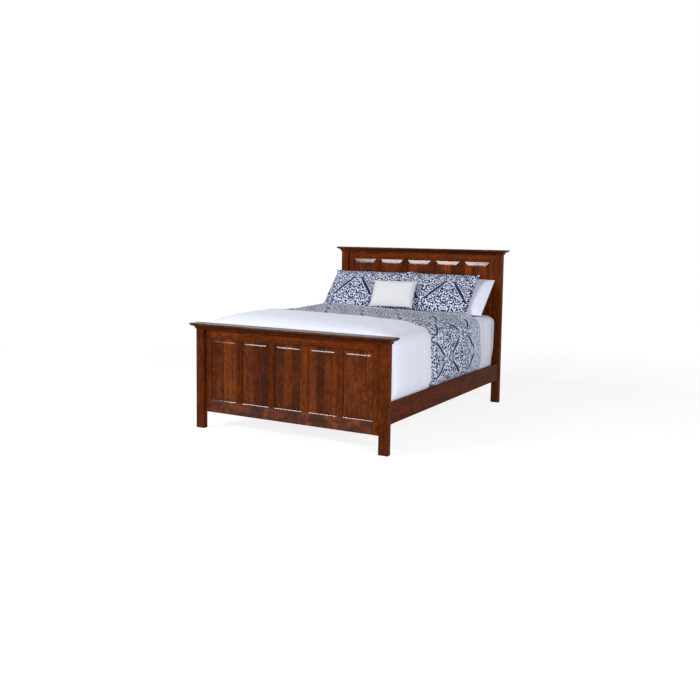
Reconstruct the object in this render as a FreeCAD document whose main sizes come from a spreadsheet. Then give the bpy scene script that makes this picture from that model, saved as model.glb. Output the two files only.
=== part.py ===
import FreeCAD, Part
import math
import os

import Sketcher
from FreeCAD import Placement, Rotation, Vector

# Panel bed, queen size, in millimetres. +X is the sleeper's side seen from the foot,
# +Y runs from the footboard to the headboard and +Z is up. The origin is on the floor,
# under the middle of the bed.

doc = FreeCAD.newDocument("panel_bed")
sheet = doc.addObject("Spreadsheet::Sheet", "dims")

DIMENSIONS = [
    # overall
    ("bed_wide", 1600, "outer face to outer face of the posts"),
    ("foot_to_head", 2150, "front of the foot posts to front of the head posts"),
    ("post_wide", 70, "post, across the bed"),
    ("post_deep", 44, "post, along the bed"),
    ("post_ease", 2, "rounding of the posts' edges"),
    # crown moulding and cap board on each end board
    ("foot_crown_base", 743, "underside of the footboard's crown"),
    ("head_crown_base", 1293, "underside of the headboard's crown"),
    ("crown_high", 28, "height of the crown moulding"),
    ("crown_out", 28, "how far the crown stands out at its top"),
    ("crown_foot", 6, "how far the crown stands out at its bottom"),
    ("crown_fillet", 4, "flat below the cove"),
    ("crown_lip", 6, "flat above the cove"),
    ("mitre_past", 2, "mitre cuts, past the crown's face"),
    ("cap_thick", 14, "cap board"),
    ("cap_over", 36, "cap board's overhang past the posts"),
    ("cap_round", 4.5, "rounding of the cap's upper edges"),
    ("cap_ease", 2, "bevel of the cap's lower edges"),
    # frame and panels between the posts
    ("frame_back", 20, "frame's front, behind the posts' front"),
    ("frame_deep", 22, "thickness of rails, stiles and mullions"),
    ("stile_wide", 54, "stile, in sight"),
    ("mullion_wide", 48, "mullion, in sight"),
    ("opening_wide", 232, "clear width between mullions"),
    ("groove_wide", 7, "panel groove"),
    ("groove_deep", 10, "panel groove"),
    ("tenon_long", 9.5, "stub tenons and tongues"),
    ("sticking", 3, "bevel along the openings' front edges"),
    ("foot_rail_low", 125, "footboard, underside of the bottom rail"),
    ("foot_open_low", 219, "footboard, openings' lower edge"),
    ("foot_open_high", 679, "footboard, openings' upper edge"),
    ("head_rail_low", 240, "headboard, underside of the bottom rail"),
    ("head_open_low", 335, "headboard, openings' lower edge"),
    ("head_open_high", 1226, "headboard, openings' upper edge"),
    ("tongue_thick", 6, "panel edge that floats in the groove"),
    ("panel_float", 1, "room between a panel edge and the groove's bottom"),
    ("bevel_wide", 24, "panel bevel, opening edge to the field's shoulder"),
    ("field_set", 1, "panel field, behind the frame's front"),
    ("field_step", 3, "height of the shoulder between the bevel and the field"),
    ("field_run", 3.5, "width of that sloping shoulder"),
    ("panel_rear", 4, "flat raise on the panel's rear"),
    # side rails, cleats and slats
    ("rail_out", 793.6, "side rail's outer face, from the middle"),
    ("rail_thick", 25.4, "side rail"),
    ("rail_high", 145, "side rail"),
    ("rail_low", 203, "side rail's underside"),
    ("rail_ease", 3, "rounding of the side rail's long edges"),
    ("cleat_wide", 32, "strip that carries the slats"),
    ("cleat_high", 19, "strip that carries the slats"),
    ("cleat_long", 1960, "strip that carries the slats"),
    ("slat_wide", 89, "slat"),
    ("slat_thick", 19, "slat"),
    ("slat_pitch", 560, "slat to slat"),
    ("slat_play", 2, "slat end to side rail"),
    ("board_ease", 1.5, "bevel of the slats' and cleats' long edges"),
    ("leg_wide", 45, "centre leg"),
    ("leg_ease", 3, "bevel of the centre leg's long edges"),
    ("leg_low", 26, "underside of the centre leg"),
    ("glide_foot", 17, "radius of the glide's foot"),
    ("glide_thick", 9, "glide's foot"),
    ("glide_stem", 4, "radius of the glide's stem"),
    ("glide_long", 62, "top of the glide's stem"),
    ("stem_room", 0.05, "radial room around the glide's stem"),
    ("glide_ease", 2, "bevel on the edges of the glide's foot"),
    ("bore_past", 20, "bore, past the stem's top, for screwing the glide in"),
    # rail hooks
    ("plate_wide", 16, "hook and slot plates"),
    ("plate_high", 120, "hook and slot plates"),
    ("plate_thick", 3, "hook and slot plates"),
    ("hook_thick", 3, "hook"),
    ("hook_reach", 12, "hook, past the plate"),
    ("hook_neck", 16, "height of the hook's neck"),
    ("hook_tooth", 8, "drop of the hook's tooth"),
    ("hook_low", 14, "lower hook's tooth, from the plate's lower end"),
    ("hook_pitch", 66, "lower hook to upper hook"),
    ("slot_room", 0.2, "play of a hook in its slot"),
    ("slot_lift", 10, "height that lets a hook in"),
    ("pocket_room", 1, "room around a hook, inside the post"),
    ("screw_shank", 1.8, "radius of a wood screw"),
    ("screw_head", 3.7, "radius of a wood screw's head"),
    ("screw_sink", 2, "height of a wood screw's head"),
    ("screw_long", 20, "wood screw"),
    ("screw_low", 48, "first screw, from the plate's lower end"),
    ("screw_pitch", 24, "screw to screw on a plate"),
    # box foundation and mattress
    ("base_wide", 1511, "box foundation"),
    ("base_long", 2020, "box foundation"),
    ("base_high", 229, "box foundation"),
    ("base_corner", 60, "radius of the foundation's corners"),
    ("base_ease", 5, "bevel of the foundation's rims"),
    ("mattress_wide", 1524, "mattress"),
    ("mattress_long", 2032, "mattress"),
    ("mattress_high", 300, "mattress"),
    ("mattress_mid", 6, "middle of the mattress along the bed"),
    ("mattress_edge", 55, "radius of the mattress's upper rim"),
    ("mattress_low_edge", 20, "bevel of the mattress's lower rim"),
    ("mattress_corner", 70, "radius of the mattress's corners"),
    # bottom sheet: over the mattress, down past the foundation and tucked in behind the rails
    ("sheet_thick", 2, "bottom sheet"),
    ("sheet_air", 0.5, "air between the foundation and the sheet"),
    ("sheet_lap", 30, "height above the mattress's underside where the sheet starts to turn in"),
    ("sheet_nip", 352, "height at which it lies against the foundation"),
    ("sheet_low", 315, "lower edge of the sheet"),
    ("cover_room", 1, "air between the sheet and the covers"),
    ("cut_past", 20, "cuts, past the soft pieces that they shape"),
    # covers
    ("cover_tuck", 300, "lower edge of the tucked covers"),
    ("comforter_head", 612, "comforter's head edge, along the bed"),
    ("coverlet_head", -423, "coverlet's head edge, along the bed"),
    ("coverlet_gap", 1, "comforter to coverlet"),
    ("coverlet_thick", 5, "coverlet"),
]

for row, (alias, value, note) in enumerate(DIMENSIONS, start=1):
    sheet.set("A%d" % row, alias)
    sheet.set("B%d" % row, str(value))
    sheet.set("C%d" % row, note)
    sheet.setAlias("B%d" % row, alias)
doc.recompute()

# expressions that several pieces share
TONGUE_FRONT = "(dims.frame_deep - dims.groove_wide) / 2"
TONGUE_REAR = "(dims.frame_deep + dims.groove_wide) / 2"
PITCH = "(dims.opening_wide + dims.mullion_wide)"
HALF_OPENINGS = "(2.5 * dims.opening_wide + 2 * dims.mullion_wide)"
SLAT_BOTTOM = "(dims.rail_low + dims.cleat_high)"
BASE_BOTTOM = "(dims.rail_low + dims.cleat_high + dims.slat_thick)"
MATTRESS_BOTTOM = "(dims.rail_low + dims.cleat_high + dims.slat_thick + dims.base_high)"
RAIL_START = "-(dims.foot_to_head - dims.post_deep) / 2"
RAIL_LONG = "(dims.foot_to_head - dims.post_deep)"
PLATE_LOW = "(dims.rail_low + (dims.rail_high - dims.plate_high) / 2)"
PLATE_OUT = "(dims.rail_out - dims.rail_thick / 2)"

BOARDS = {
    "footboard": {
        "front": "-(dims.foot_to_head + dims.post_deep) / 2",
        "crown": "dims.foot_crown_base",
        "rail_low": "dims.foot_rail_low",
        "open_low": "dims.foot_open_low",
        "open_high": "dims.foot_open_high",
        "rail_side": 1,
    },
    "headboard": {
        "front": "(dims.foot_to_head - dims.post_deep) / 2",
        "crown": "dims.head_crown_base",
        "rail_low": "dims.head_rail_low",
        "open_low": "dims.head_open_low",
        "open_high": "dims.head_open_high",
        "rail_side": 0,
    },
}

pieces = []


def size(alias):
    return float(sheet.get(alias))


def signed(sign, text):
    return text if sign > 0 else "-(%s)" % text


def finished(piece, label):
    """Keep an object as a sub-part under its own name."""
    piece.Label = label
    pieces.append(piece)
    return piece


def put(piece, x=None, y=None, z=None):
    """Bind a piece's place to the sheet."""
    for axis, text in (("x", x), ("y", y), ("z", z)):
        if text is not None:
            piece.setExpression("Placement.Base." + axis, text)


def new_body(name):
    return doc.addObject("PartDesign::Body", name)


def origin_part(body, role):
    for feature in body.Origin.OriginFeatures:
        if feature.Role == role:
            return feature
    raise RuntimeError("no origin feature " + role)


def new_sketch(body, name, role, offset=None):
    sketch = body.newObject("Sketcher::SketchObject", name)
    sketch.AttachmentSupport = [(origin_part(body, role), "")]
    sketch.MapMode = "FlatFace"
    if offset is not None:
        sketch.setExpression("AttachmentOffset.Base.z", offset)
    return sketch


def dimension(sketch, kind, element, point, name, text):
    index = sketch.addConstraint(Sketcher.Constraint(kind, -1, 1, element, point, 1.0))
    sketch.renameConstraint(index, name)
    sketch.setExpression("Constraints." + name, text)


def draw_loop(sketch, corners):
    """Closed outline whose corners are dimensioned from the sketch's origin."""
    first = sketch.GeometryCount
    count = len(corners)
    ring = [Vector(10 * math.cos(2 * math.pi * step / count),
                   10 * math.sin(2 * math.pi * step / count), 0) for step in range(count)]
    for step in range(count):
        sketch.addGeometry(Part.LineSegment(ring[step], ring[(step + 1) % count]), False)
    for step in range(count):
        sketch.addConstraint(
            Sketcher.Constraint("Coincident", first + step, 2, first + (step + 1) % count, 1))
    for step, (across, up) in enumerate(corners):
        dimension(sketch, "DistanceX", first + step, 1, "x%d" % (first + step), across)
        dimension(sketch, "DistanceY", first + step, 1, "y%d" % (first + step), up)
    return sketch


def outline(body, name, role, loops, offset=None):
    sketch = new_sketch(body, name, role, offset)
    for corners in loops:
        draw_loop(sketch, corners)
    return sketch


def box_loop(left, low, right, high):
    return [(left, low), (right, low), (right, high), (left, high)]


def regular_loop(radius, flats):
    """Regular outline around the sketch's origin, from its corner radius."""
    turn = 2 * math.pi / flats
    return [("%s * %.6f" % (radius, math.cos((step + 0.5) * turn)),
             "%s * %.6f" % (radius, math.sin((step + 0.5) * turn))) for step in range(flats)]


def pad(body, name, sketch, length, backward=False):
    feature = body.newObject("PartDesign::Pad", name)
    feature.Profile = sketch
    feature.setExpression("Length", length)
    feature.Reversed = backward
    doc.recompute()
    return feature


def pocket(body, name, sketch, length=None, backward=False):
    """Cut a sketch into the body; with no length it goes right through."""
    before = body.Shape.Volume
    feature = body.newObject("PartDesign::Pocket", name)
    feature.Profile = sketch
    if length is None:
        feature.Type = "ThroughAll"
    else:
        feature.setExpression("Length", length)
    feature.Reversed = backward
    doc.recompute()
    if body.Shape.Volume > before - 1e-3:
        raise RuntimeError("%s in %s cuts nothing" % (name, body.Name))
    return feature


def edges_where(shape, test):
    return ["Edge%d" % number for number, edge in enumerate(shape.Edges, start=1) if test(edge)]


def runs_along(edge, direction):
    if len(edge.Vertexes) < 2:
        return False
    start, end = (vertex.Point for vertex in edge.Vertexes)
    return (end - start).normalize().isEqual(direction, 1e-6) or \
        (start - end).normalize().isEqual(direction, 1e-6)


def at_height(edge, height):
    return all(abs(vertex.Z - height) < 1e-4 for vertex in edge.Vertexes)


def round_edges(body, name, test, radius, kind="Fillet"):
    base = (body.Tip, edges_where(body.Shape, test))
    feature = body.newObject("PartDesign::" + kind, name)
    feature.Base = base
    if kind == "Fillet":
        feature.Radius = radius
    else:
        feature.Size = radius
    doc.recompute()
    return feature


def group(label, members):
    compound = doc.addObject("Part::Compound", label)
    compound.Links = members
    return finished(compound, label)


def cut_by(label, base, tool):
    cut = doc.addObject("Part::Cut", label)
    cut.Base = base
    cut.Tool = tool
    return finished(cut, label)


# ---- rail hooks: plates, slots and screws that pull a rail onto its post ----

def hook_plate(name):
    """Plate let into a rail's end, with two hooks that reach past it along +Y."""
    body = new_body(name)
    face = outline(body, name + "_face", "XZ_Plane",
                   [box_loop("-dims.plate_wide / 2", "0", "dims.plate_wide / 2", "dims.plate_high")])
    pad(body, name + "_plate", face, "dims.plate_thick")
    hooks = []
    for level in ("dims.hook_low", "dims.hook_low + dims.hook_pitch"):
        tooth = "dims.plate_thick + dims.slot_room"
        neck = level + " + dims.hook_tooth"
        hooks.append([
            ("0", neck), (tooth, neck), (tooth, level), ("dims.hook_reach", level),
            ("dims.hook_reach", neck + " + dims.hook_neck"), ("0", neck + " + dims.hook_neck")])
    side = outline(body, name + "_hooks", "YZ_Plane", hooks, "-dims.hook_thick / 2")
    pad(body, name + "_hook_pair", side, "dims.hook_thick")
    return body


def slot_loops(half, extra_low, extra_high):
    """The two slots that take a plate's hooks, as sketch loops."""
    loops = []
    for level in ("dims.hook_low", "dims.hook_low + dims.hook_pitch"):
        loops.append(box_loop("-" + half, level + extra_low, half, level + extra_high))
    return loops


def slot_plate(name):
    """Plate let into a post's face, along +Y from the face, with two slots."""
    body = new_body(name)
    face = outline(body, name + "_face", "XZ_Plane",
                   [box_loop("-dims.plate_wide / 2", "0", "dims.plate_wide / 2", "dims.plate_high")])
    pad(body, name + "_plate", face, "dims.plate_thick", backward=True)
    slots = outline(body, name + "_slots", "XZ_Plane", slot_loops(
        "(dims.hook_thick / 2 + dims.slot_room)", " + dims.hook_tooth",
        " + dims.hook_tooth + dims.hook_neck + dims.slot_lift"))
    pocket(body, name + "_slot_pair", slots)
    return body


def wood_screw(name):
    """Countersunk screw, drawn with eight flats; its head is flush with the origin, it points to +Y."""
    body = new_body(name)
    rings = []
    for label, radius, depth in (("_head_edge", "dims.screw_head", "0"),
                                 ("_neck_edge", "dims.screw_shank", "-dims.screw_sink")):
        rings.append(outline(body, name + label, "XZ_Plane", [regular_loop(radius, 8)], depth))
    head = body.newObject("PartDesign::AdditiveLoft", name + "_head")
    head.Profile = rings[0]
    head.Sections = [rings[1]]
    head.Ruled = True
    doc.recompute()
    shank = outline(body, name + "_shank_edge", "XZ_Plane",
                    [regular_loop("dims.screw_shank", 8)], "-dims.screw_sink")
    pad(body, name + "_shank", shank, "dims.screw_long - dims.screw_sink", backward=True)
    return body


CORNERS = [("foot_left", -1, -1), ("foot_right", 1, -1), ("head_left", -1, 1), ("head_right", 1, 1)]
hook_plates = []
slot_plates = []
plate_screws = []
for corner, side, end in CORNERS:
    across = signed(side, PLATE_OUT)
    contact = signed(end, RAIL_LONG + " / 2")
    facing = Rotation(Vector(0, 0, 1), 0 if end > 0 else 180)
    for build, row in ((hook_plate, hook_plates), (slot_plate, slot_plates)):
        plate = build("%s_%s" % (corner, build.__name__))
        plate.Placement = Placement(Vector(), facing)
        put(plate, across, contact, PLATE_LOW)
        row.append(plate)
    for where, turn in (("rail", 180), ("post", 0)):
        for step in (0, 1):
            screw = wood_screw("%s_%s_screw_%d" % (corner, where, step + 1))
            screw.Placement = Placement(Vector(), facing * Rotation(Vector(0, 0, 1), turn))
            put(screw, across, contact,
                PLATE_LOW + " + dims.screw_low + %d * dims.screw_pitch" % step)
            plate_screws.append(screw)

screws = group("plate_screws", plate_screws)
hook_blanks = doc.addObject("Part::Compound", "hook_blanks")
hook_blanks.Links = hook_plates
slot_blanks = doc.addObject("Part::Compound", "slot_blanks")
slot_blanks.Links = slot_plates
cut_by("rail_hook_plates", hook_blanks, screws)
cut_by("post_slot_plates", slot_blanks, screws)


# ---- end boards: posts, mortised frame, raised panels, crown and cap ----

def post(board, name, side):
    """Post with a groove for the stile's tongue and a mortise for the rail's slot plate."""
    spec = BOARDS[board]
    body = new_body(name + "_blank")
    far = signed(side, "dims.post_wide")
    section = outline(body, name + "_section", "XY_Plane",
                      [box_loop("0", "0", far, "dims.post_deep")])
    pad(body, name + "_length", section, spec["crown"] + " + dims.crown_high")
    round_edges(body, name + "_eased", lambda edge: runs_along(edge, Vector(0, 0, 1)),
                size("post_ease"))
    groove = outline(body, name + "_stile_groove", "YZ_Plane", [box_loop(
        "dims.frame_back + " + TONGUE_FRONT, spec["rail_low"],
        "dims.frame_back + " + TONGUE_REAR, spec["crown"] + " + dims.crown_high")])
    pocket(body, name + "_groove", groove, "dims.groove_deep", backward=side > 0)

    # the plate's mortise and the deeper pockets for the hooks open on the rail's side
    middle = "(%s - dims.bed_wide / 2 + dims.post_wide)" % PLATE_OUT
    half = "dims.plate_wide / 2"
    left = signed(side, middle) + " - " + half
    right = signed(side, middle) + " + " + half
    offset = "-dims.post_deep" if spec["rail_side"] else "0"
    mortise = outline(body, name + "_plate_mortise", "XZ_Plane",
                      [box_loop(left, PLATE_LOW, right, PLATE_LOW + " + dims.plate_high")], offset)
    pocket(body, name + "_mortise", mortise, "dims.plate_thick", backward=bool(spec["rail_side"]))
    room = "(dims.hook_thick / 2 + dims.pocket_room)"
    loops = []
    for level in ("dims.hook_low", "dims.hook_low + dims.hook_pitch"):
        loops.append(box_loop(
            "%s - %s" % (signed(side, middle), room), "%s + %s - dims.pocket_room" % (PLATE_LOW, level),
            "%s + %s" % (signed(side, middle), room),
            "%s + %s + dims.hook_tooth + dims.hook_neck + dims.slot_lift" % (PLATE_LOW, level)))
    deep = outline(body, name + "_hook_pockets", "XZ_Plane", loops, offset)
    pocket(body, name + "_pockets", deep, "dims.hook_reach + dims.pocket_room",
           backward=bool(spec["rail_side"]))
    put(body, signed(side, "dims.bed_wide / 2 - dims.post_wide"), spec["front"])
    return cut_by(name, body, screws)


def stile(board, name, side):
    """Upright beside a post: tongue into the post, groove towards the panel."""
    spec = BOARDS[board]
    body = new_body(name)

    def out(text):
        return signed(side, text)

    section = outline(body, name + "_section", "XY_Plane", [[
        (out("-dims.stile_wide"), "0"), ("0", "0"), ("0", TONGUE_FRONT),
        (out("dims.tenon_long"), TONGUE_FRONT), (out("dims.tenon_long"), TONGUE_REAR),
        ("0", TONGUE_REAR), ("0", "dims.frame_deep"), (out("-dims.stile_wide"), "dims.frame_deep"),
        (out("-dims.stile_wide"), TONGUE_REAR),
        (out("-dims.stile_wide + dims.groove_deep"), TONGUE_REAR),
        (out("-dims.stile_wide + dims.groove_deep"), TONGUE_FRONT),
        (out("-dims.stile_wide"), TONGUE_FRONT)]])
    pad(body, name + "_length", section,
        "%s + dims.crown_high - %s" % (spec["crown"], spec["rail_low"]))
    bevel = outline(body, name + "_bevel", "XY_Plane", [[
        (out("-dims.stile_wide"), "0"), (out("-dims.stile_wide + dims.sticking"), "0"),
        (out("-dims.stile_wide"), "dims.sticking")]],
        "%s - %s" % (spec["open_low"], spec["rail_low"]))
    pocket(body, name + "_sticking", bevel,
           "%s - %s" % (spec["open_high"], spec["open_low"]), backward=True)
    put(body, out("dims.bed_wide / 2 - dims.post_wide"), spec["front"] + " + dims.frame_back",
        spec["rail_low"])
    return finished(body, name)


def frame_rail(board, name, top):
    """Cross rail with stub tenons at its ends and a groove towards the panels."""
    spec = BOARDS[board]
    body = new_body(name)
    if top:
        low, tall = spec["open_high"], "(%s + dims.crown_high - %s)" % (spec["crown"], spec["open_high"])
        edge, inner, fall = "0", "dims.groove_deep", "dims.sticking"
    else:
        low, tall = spec["rail_low"], "(%s - %s)" % (spec["open_low"], spec["rail_low"])
        edge, inner, fall = tall, tall + " - dims.groove_deep", tall + " - dims.sticking"
    plain = tall if top else "0"
    section = outline(body, name + "_section", "YZ_Plane", [[
        ("0", plain), ("dims.frame_deep", plain), ("dims.frame_deep", edge), (TONGUE_REAR, edge),
        (TONGUE_REAR, inner), (TONGUE_FRONT, inner), (TONGUE_FRONT, edge), ("0", edge)]])
    between = "2 * %s" % HALF_OPENINGS
    long = between + " + 2 * dims.tenon_long"
    pad(body, name + "_length", section, long)
    cheeks = outline(body, name + "_cheeks", "XY_Plane", [
        box_loop("0", "0", "dims.tenon_long", TONGUE_FRONT),
        box_loop("0", TONGUE_REAR, "dims.tenon_long", "dims.frame_deep"),
        box_loop(long + " - dims.tenon_long", "0", long, TONGUE_FRONT),
        box_loop(long + " - dims.tenon_long", TONGUE_REAR, long, "dims.frame_deep")])
    pocket(body, name + "_tenons", cheeks, backward=True)
    bevel = outline(body, name + "_bevel", "YZ_Plane",
                    [[("0", edge), ("dims.sticking", edge), ("0", fall)]], "dims.tenon_long")
    sticking = pocket(body, name + "_sticking", bevel, "dims.opening_wide", backward=True)
    row = body.newObject("PartDesign::LinearPattern", name + "_sticking_row")
    row.Originals = [sticking]
    row.Direction = (origin_part(body, "X_Axis"), [""])
    row.setExpression("Length", "4 * " + PITCH)
    row.Occurrences = 5
    body.Tip = row
    doc.recompute()
    put(body, "-%s - dims.tenon_long" % HALF_OPENINGS, spec["front"] + " + dims.frame_back", low)
    return finished(body, name)


def mullion(board, name, place):
    """Upright between two panels: grooved on both edges, stub tenons top and bottom."""
    spec = BOARDS[board]
    body = new_body(name)
    half = "dims.mullion_wide / 2"
    waist = "(dims.mullion_wide / 2 - dims.groove_deep)"
    section = outline(body, name + "_section", "XY_Plane", [[
        ("-" + half, "0"), (half, "0"), (half, TONGUE_FRONT), (waist, TONGUE_FRONT),
        (waist, TONGUE_REAR), (half, TONGUE_REAR), (half, "dims.frame_deep"),
        ("-" + half, "dims.frame_deep"), ("-" + half, TONGUE_REAR), ("-" + waist, TONGUE_REAR),
        ("-" + waist, TONGUE_FRONT), ("-" + half, TONGUE_FRONT)]])
    opening = "(%s - %s)" % (spec["open_high"], spec["open_low"])
    tall = opening + " + 2 * dims.tenon_long"
    pad(body, name + "_length", section, tall)
    cheeks = outline(body, name + "_cheeks", "YZ_Plane", [
        box_loop("0", "0", TONGUE_FRONT, "dims.tenon_long"),
        box_loop(TONGUE_REAR, "0", "dims.frame_deep", "dims.tenon_long"),
        box_loop("0", tall + " - dims.tenon_long", TONGUE_FRONT, tall),
        box_loop(TONGUE_REAR, tall + " - dims.tenon_long", "dims.frame_deep", tall)], "-" + half)
    pocket(body, name + "_tenons", cheeks, backward=True)
    bevels = []
    for sign in ("-", ""):
        inward = " + dims.sticking" if sign else " - dims.sticking"
        bevels.append([(sign + half, "0"), (sign + half + inward, "0"),
                       (sign + half, "dims.sticking")])
    bevel = outline(body, name + "_bevel", "XY_Plane", bevels, "dims.tenon_long")
    pocket(body, name + "_sticking", bevel, opening, backward=True)
    put(body, "%s * %s" % (place, PITCH), spec["front"] + " + dims.frame_back",
        spec["open_low"] + " - dims.tenon_long")
    return finished(body, name)


def panel_slope(body, name, opening, rear, front, inset, run):
    """Four-sided slope on a panel's front, rising from one depth to another over a run."""
    slope = body.newObject("PartDesign::AdditiveWedge", name)
    slope.Placement = Placement(Vector(), Rotation(Vector(0, 0, 1), 180))
    slope.setExpression("Placement.Base.y", rear)
    half = "(dims.opening_wide / 2 - %s)" % inset
    low = "(dims.groove_deep + %s)" % inset
    high = "(dims.groove_deep + %s - %s)" % (opening, inset)
    for limit, text in (
            ("Xmin", "-" + half), ("Xmax", half), ("X2min", run + " - " + half), ("X2max", half + " - " + run),
            ("Zmin", low), ("Zmax", high), ("Z2min", low + " + " + run), ("Z2max", high + " - " + run),
            ("Ymin", "0"), ("Ymax", "%s - %s" % (rear, front))):
        slope.setExpression(limit, text)
    doc.recompute()


def raised_panel(board, name, place):
    """Panel that floats in the grooves: thin tongue, long bevel, short shoulder, flat field."""
    spec = BOARDS[board]
    body = new_body(name)
    opening = "(%s - %s)" % (spec["open_high"], spec["open_low"])
    hidden = "(dims.groove_deep - dims.panel_float)"
    tongue = "(dims.frame_deep - dims.tongue_thick) / 2"
    bevel_end = "(dims.field_set + dims.field_step)"
    half = "(dims.opening_wide / 2 + %s)" % hidden
    edge = outline(body, name + "_edge", "XZ_Plane", [box_loop(
        "-" + half, "0", half, "%s + 2 * %s" % (opening, hidden))], "-(%s)" % tongue)
    pad(body, name + "_tongue", edge, "dims.tongue_thick", backward=True)
    panel_slope(body, name + "_bevel", opening, tongue, bevel_end, "0", "dims.bevel_wide")
    panel_slope(body, name + "_shoulder", opening, bevel_end, "dims.field_set",
                "dims.bevel_wide", "dims.field_run")
    half = "(dims.opening_wide / 2 - dims.panel_float)"
    rear = outline(body, name + "_rear_edge", "XZ_Plane", [box_loop(
        "-" + half, "dims.groove_deep + dims.panel_float", half,
        "dims.groove_deep + %s - dims.panel_float" % opening)], "-(%s + dims.tongue_thick)" % tongue)
    pad(body, name + "_rear", rear, "dims.panel_rear", backward=True)
    put(body, "%s * %s" % (place, PITCH), spec["front"] + " + dims.frame_back",
        spec["open_low"] + " - dims.groove_deep")
    return finished(body, name)


def crown_run(name, inner_length):
    """One mitred length of cove moulding; its back is the XZ plane, it stands out to -Y."""
    body = new_body(name)
    profile = new_sketch(body, name + "_profile", "YZ_Plane", "-(%s) / 2 - dims.crown_out" % inner_length)
    draw_loop(profile, [
        ("0", "0"), ("-dims.crown_foot", "0"), ("-dims.crown_foot", "dims.crown_fillet"),
        ("-dims.crown_out + dims.crown_fillet", "dims.crown_high - dims.crown_lip"),
        ("-dims.crown_out", "dims.crown_high - dims.crown_lip"),
        ("-dims.crown_out", "dims.crown_high"), ("0", "dims.crown_high")])
    doc.recompute()
    bend_cove(profile, 2)
    pad(body, name + "_length", profile, inner_length + " + 2 * dims.crown_out")
    past = "dims.crown_out + dims.mitre_past"
    far = "(%s) / 2 + %s" % (inner_length, past)
    ends = outline(body, name + "_mitres", "XY_Plane", [
        [("(%s) / 2" % inner_length, "0"), (far, "-(%s)" % past), (far, "0")],
        [("-(%s) / 2" % inner_length, "0"), ("-(%s)" % far, "0"), ("-(%s)" % far, "-(%s)" % past)]])
    pocket(body, name + "_mitre_cuts", ends, backward=True)
    return body


def bend_cove(profile, edge):
    """Turn one straight edge of a profile into the cove, hollow towards the outside."""
    line = profile.Geometry[edge]
    start, end = line.StartPoint, line.EndPoint
    radius = start.distanceToPoint(end) / math.sqrt(2)
    centre = Vector(end.x, start.y, 0)
    middle = centre + ((start + end) * 0.5 - centre).normalize() * radius
    arc = Part.Arc(start, middle, end)
    index = profile.addGeometry(arc, False)
    profile.setConstruction(edge, True)
    circle = profile.Geometry[index]
    begins = circle.StartPoint.distanceToPoint(start) < 1e-6
    profile.addConstraint(Sketcher.Constraint("Coincident", index, 1 if begins else 2, edge, 1))
    profile.addConstraint(Sketcher.Constraint("Coincident", index, 2 if begins else 1, edge, 2))
    held = profile.addConstraint(Sketcher.Constraint("Radius", index, radius))
    profile.renameConstraint(held, "cove")
    profile.setExpression("Constraints.cove",
                          "dims.crown_out - dims.crown_fillet - dims.crown_foot")


def crown(board, name):
    spec = BOARDS[board]
    middle = spec["front"] + " + dims.post_deep / 2"
    runs = []
    for step, (inner, out_x, out_y) in enumerate((
            ("dims.bed_wide", None, "%s - dims.post_deep / 2" % middle),
            ("dims.post_deep", "dims.bed_wide / 2", middle),
            ("dims.bed_wide", None, "%s + dims.post_deep / 2" % middle),
            ("dims.post_deep", "-dims.bed_wide / 2", middle))):
        run = crown_run("%s_run_%d" % (name, step + 1), inner)
        run.Placement = Placement(Vector(), Rotation(Vector(0, 0, 1), 90 * step))
        put(run, out_x, out_y, spec["crown"])
        runs.append(run)
    return group(name, runs)


def cap(board, name):
    """Cap board over the crown, rounded above and eased below."""
    spec = BOARDS[board]
    body = new_body(name)
    edge = outline(body, name + "_edge", "XY_Plane", [box_loop(
        "-dims.bed_wide / 2 - dims.cap_over", "-dims.cap_over",
        "dims.bed_wide / 2 + dims.cap_over", "dims.post_deep + dims.cap_over")])
    pad(body, name + "_board", edge, "dims.cap_thick")
    round_edges(body, name + "_rounded", lambda side: at_height(side, size("cap_thick")),
                size("cap_round"))
    round_edges(body, name + "_eased", lambda side: at_height(side, 0), size("cap_ease"), "Chamfer")
    put(body, None, spec["front"], spec["crown"] + " + dims.crown_high")
    return finished(body, name)


for board in BOARDS:
    for word, side in (("left", -1), ("right", 1)):
        post(board, "%s_%s_post" % (board, word), side)
        stile(board, "%s_%s_stile" % (board, word), side)
    frame_rail(board, board + "_top_rail", True)
    frame_rail(board, board + "_bottom_rail", False)
    for number in range(1, 5):
        mullion(board, "%s_mullion_%d" % (board, number), number - 2.5)
    for number in range(1, 6):
        raised_panel(board, "%s_panel_%d" % (board, number), number - 3)
    crown(board, board + "_crown")
    cap(board, board + "_cap")


# ---- side rails, cleats, slats and the centre support ----

def side_rail(name, side):
    body = new_body(name + "_blank")
    inner = signed(side, "-dims.rail_thick")
    section = outline(body, name + "_section", "XZ_Plane",
                      [box_loop("0", "0", inner, "dims.rail_high")])
    pad(body, name + "_length", section, RAIL_LONG, backward=True)
    round_edges(body, name + "_eased", lambda edge: runs_along(edge, Vector(0, 1, 0)),
                size("rail_ease"))
    low = "(dims.rail_high - dims.plate_high) / 2"
    seat = [box_loop(signed(side, "-(dims.rail_thick - dims.plate_wide) / 2"), low,
                     signed(side, "-(dims.rail_thick + dims.plate_wide) / 2"),
                     low + " + dims.plate_high")]
    foot_seat = outline(body, name + "_foot_seat", "XZ_Plane", seat)
    pocket(body, name + "_foot_mortise", foot_seat, "dims.plate_thick")
    head_seat = outline(body, name + "_head_seat", "XZ_Plane", seat, "-" + RAIL_LONG)
    pocket(body, name + "_head_mortise", head_seat, "dims.plate_thick", backward=True)
    put(body, signed(side, "dims.rail_out"), RAIL_START, "dims.rail_low")
    return cut_by(name, body, screws)


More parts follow.
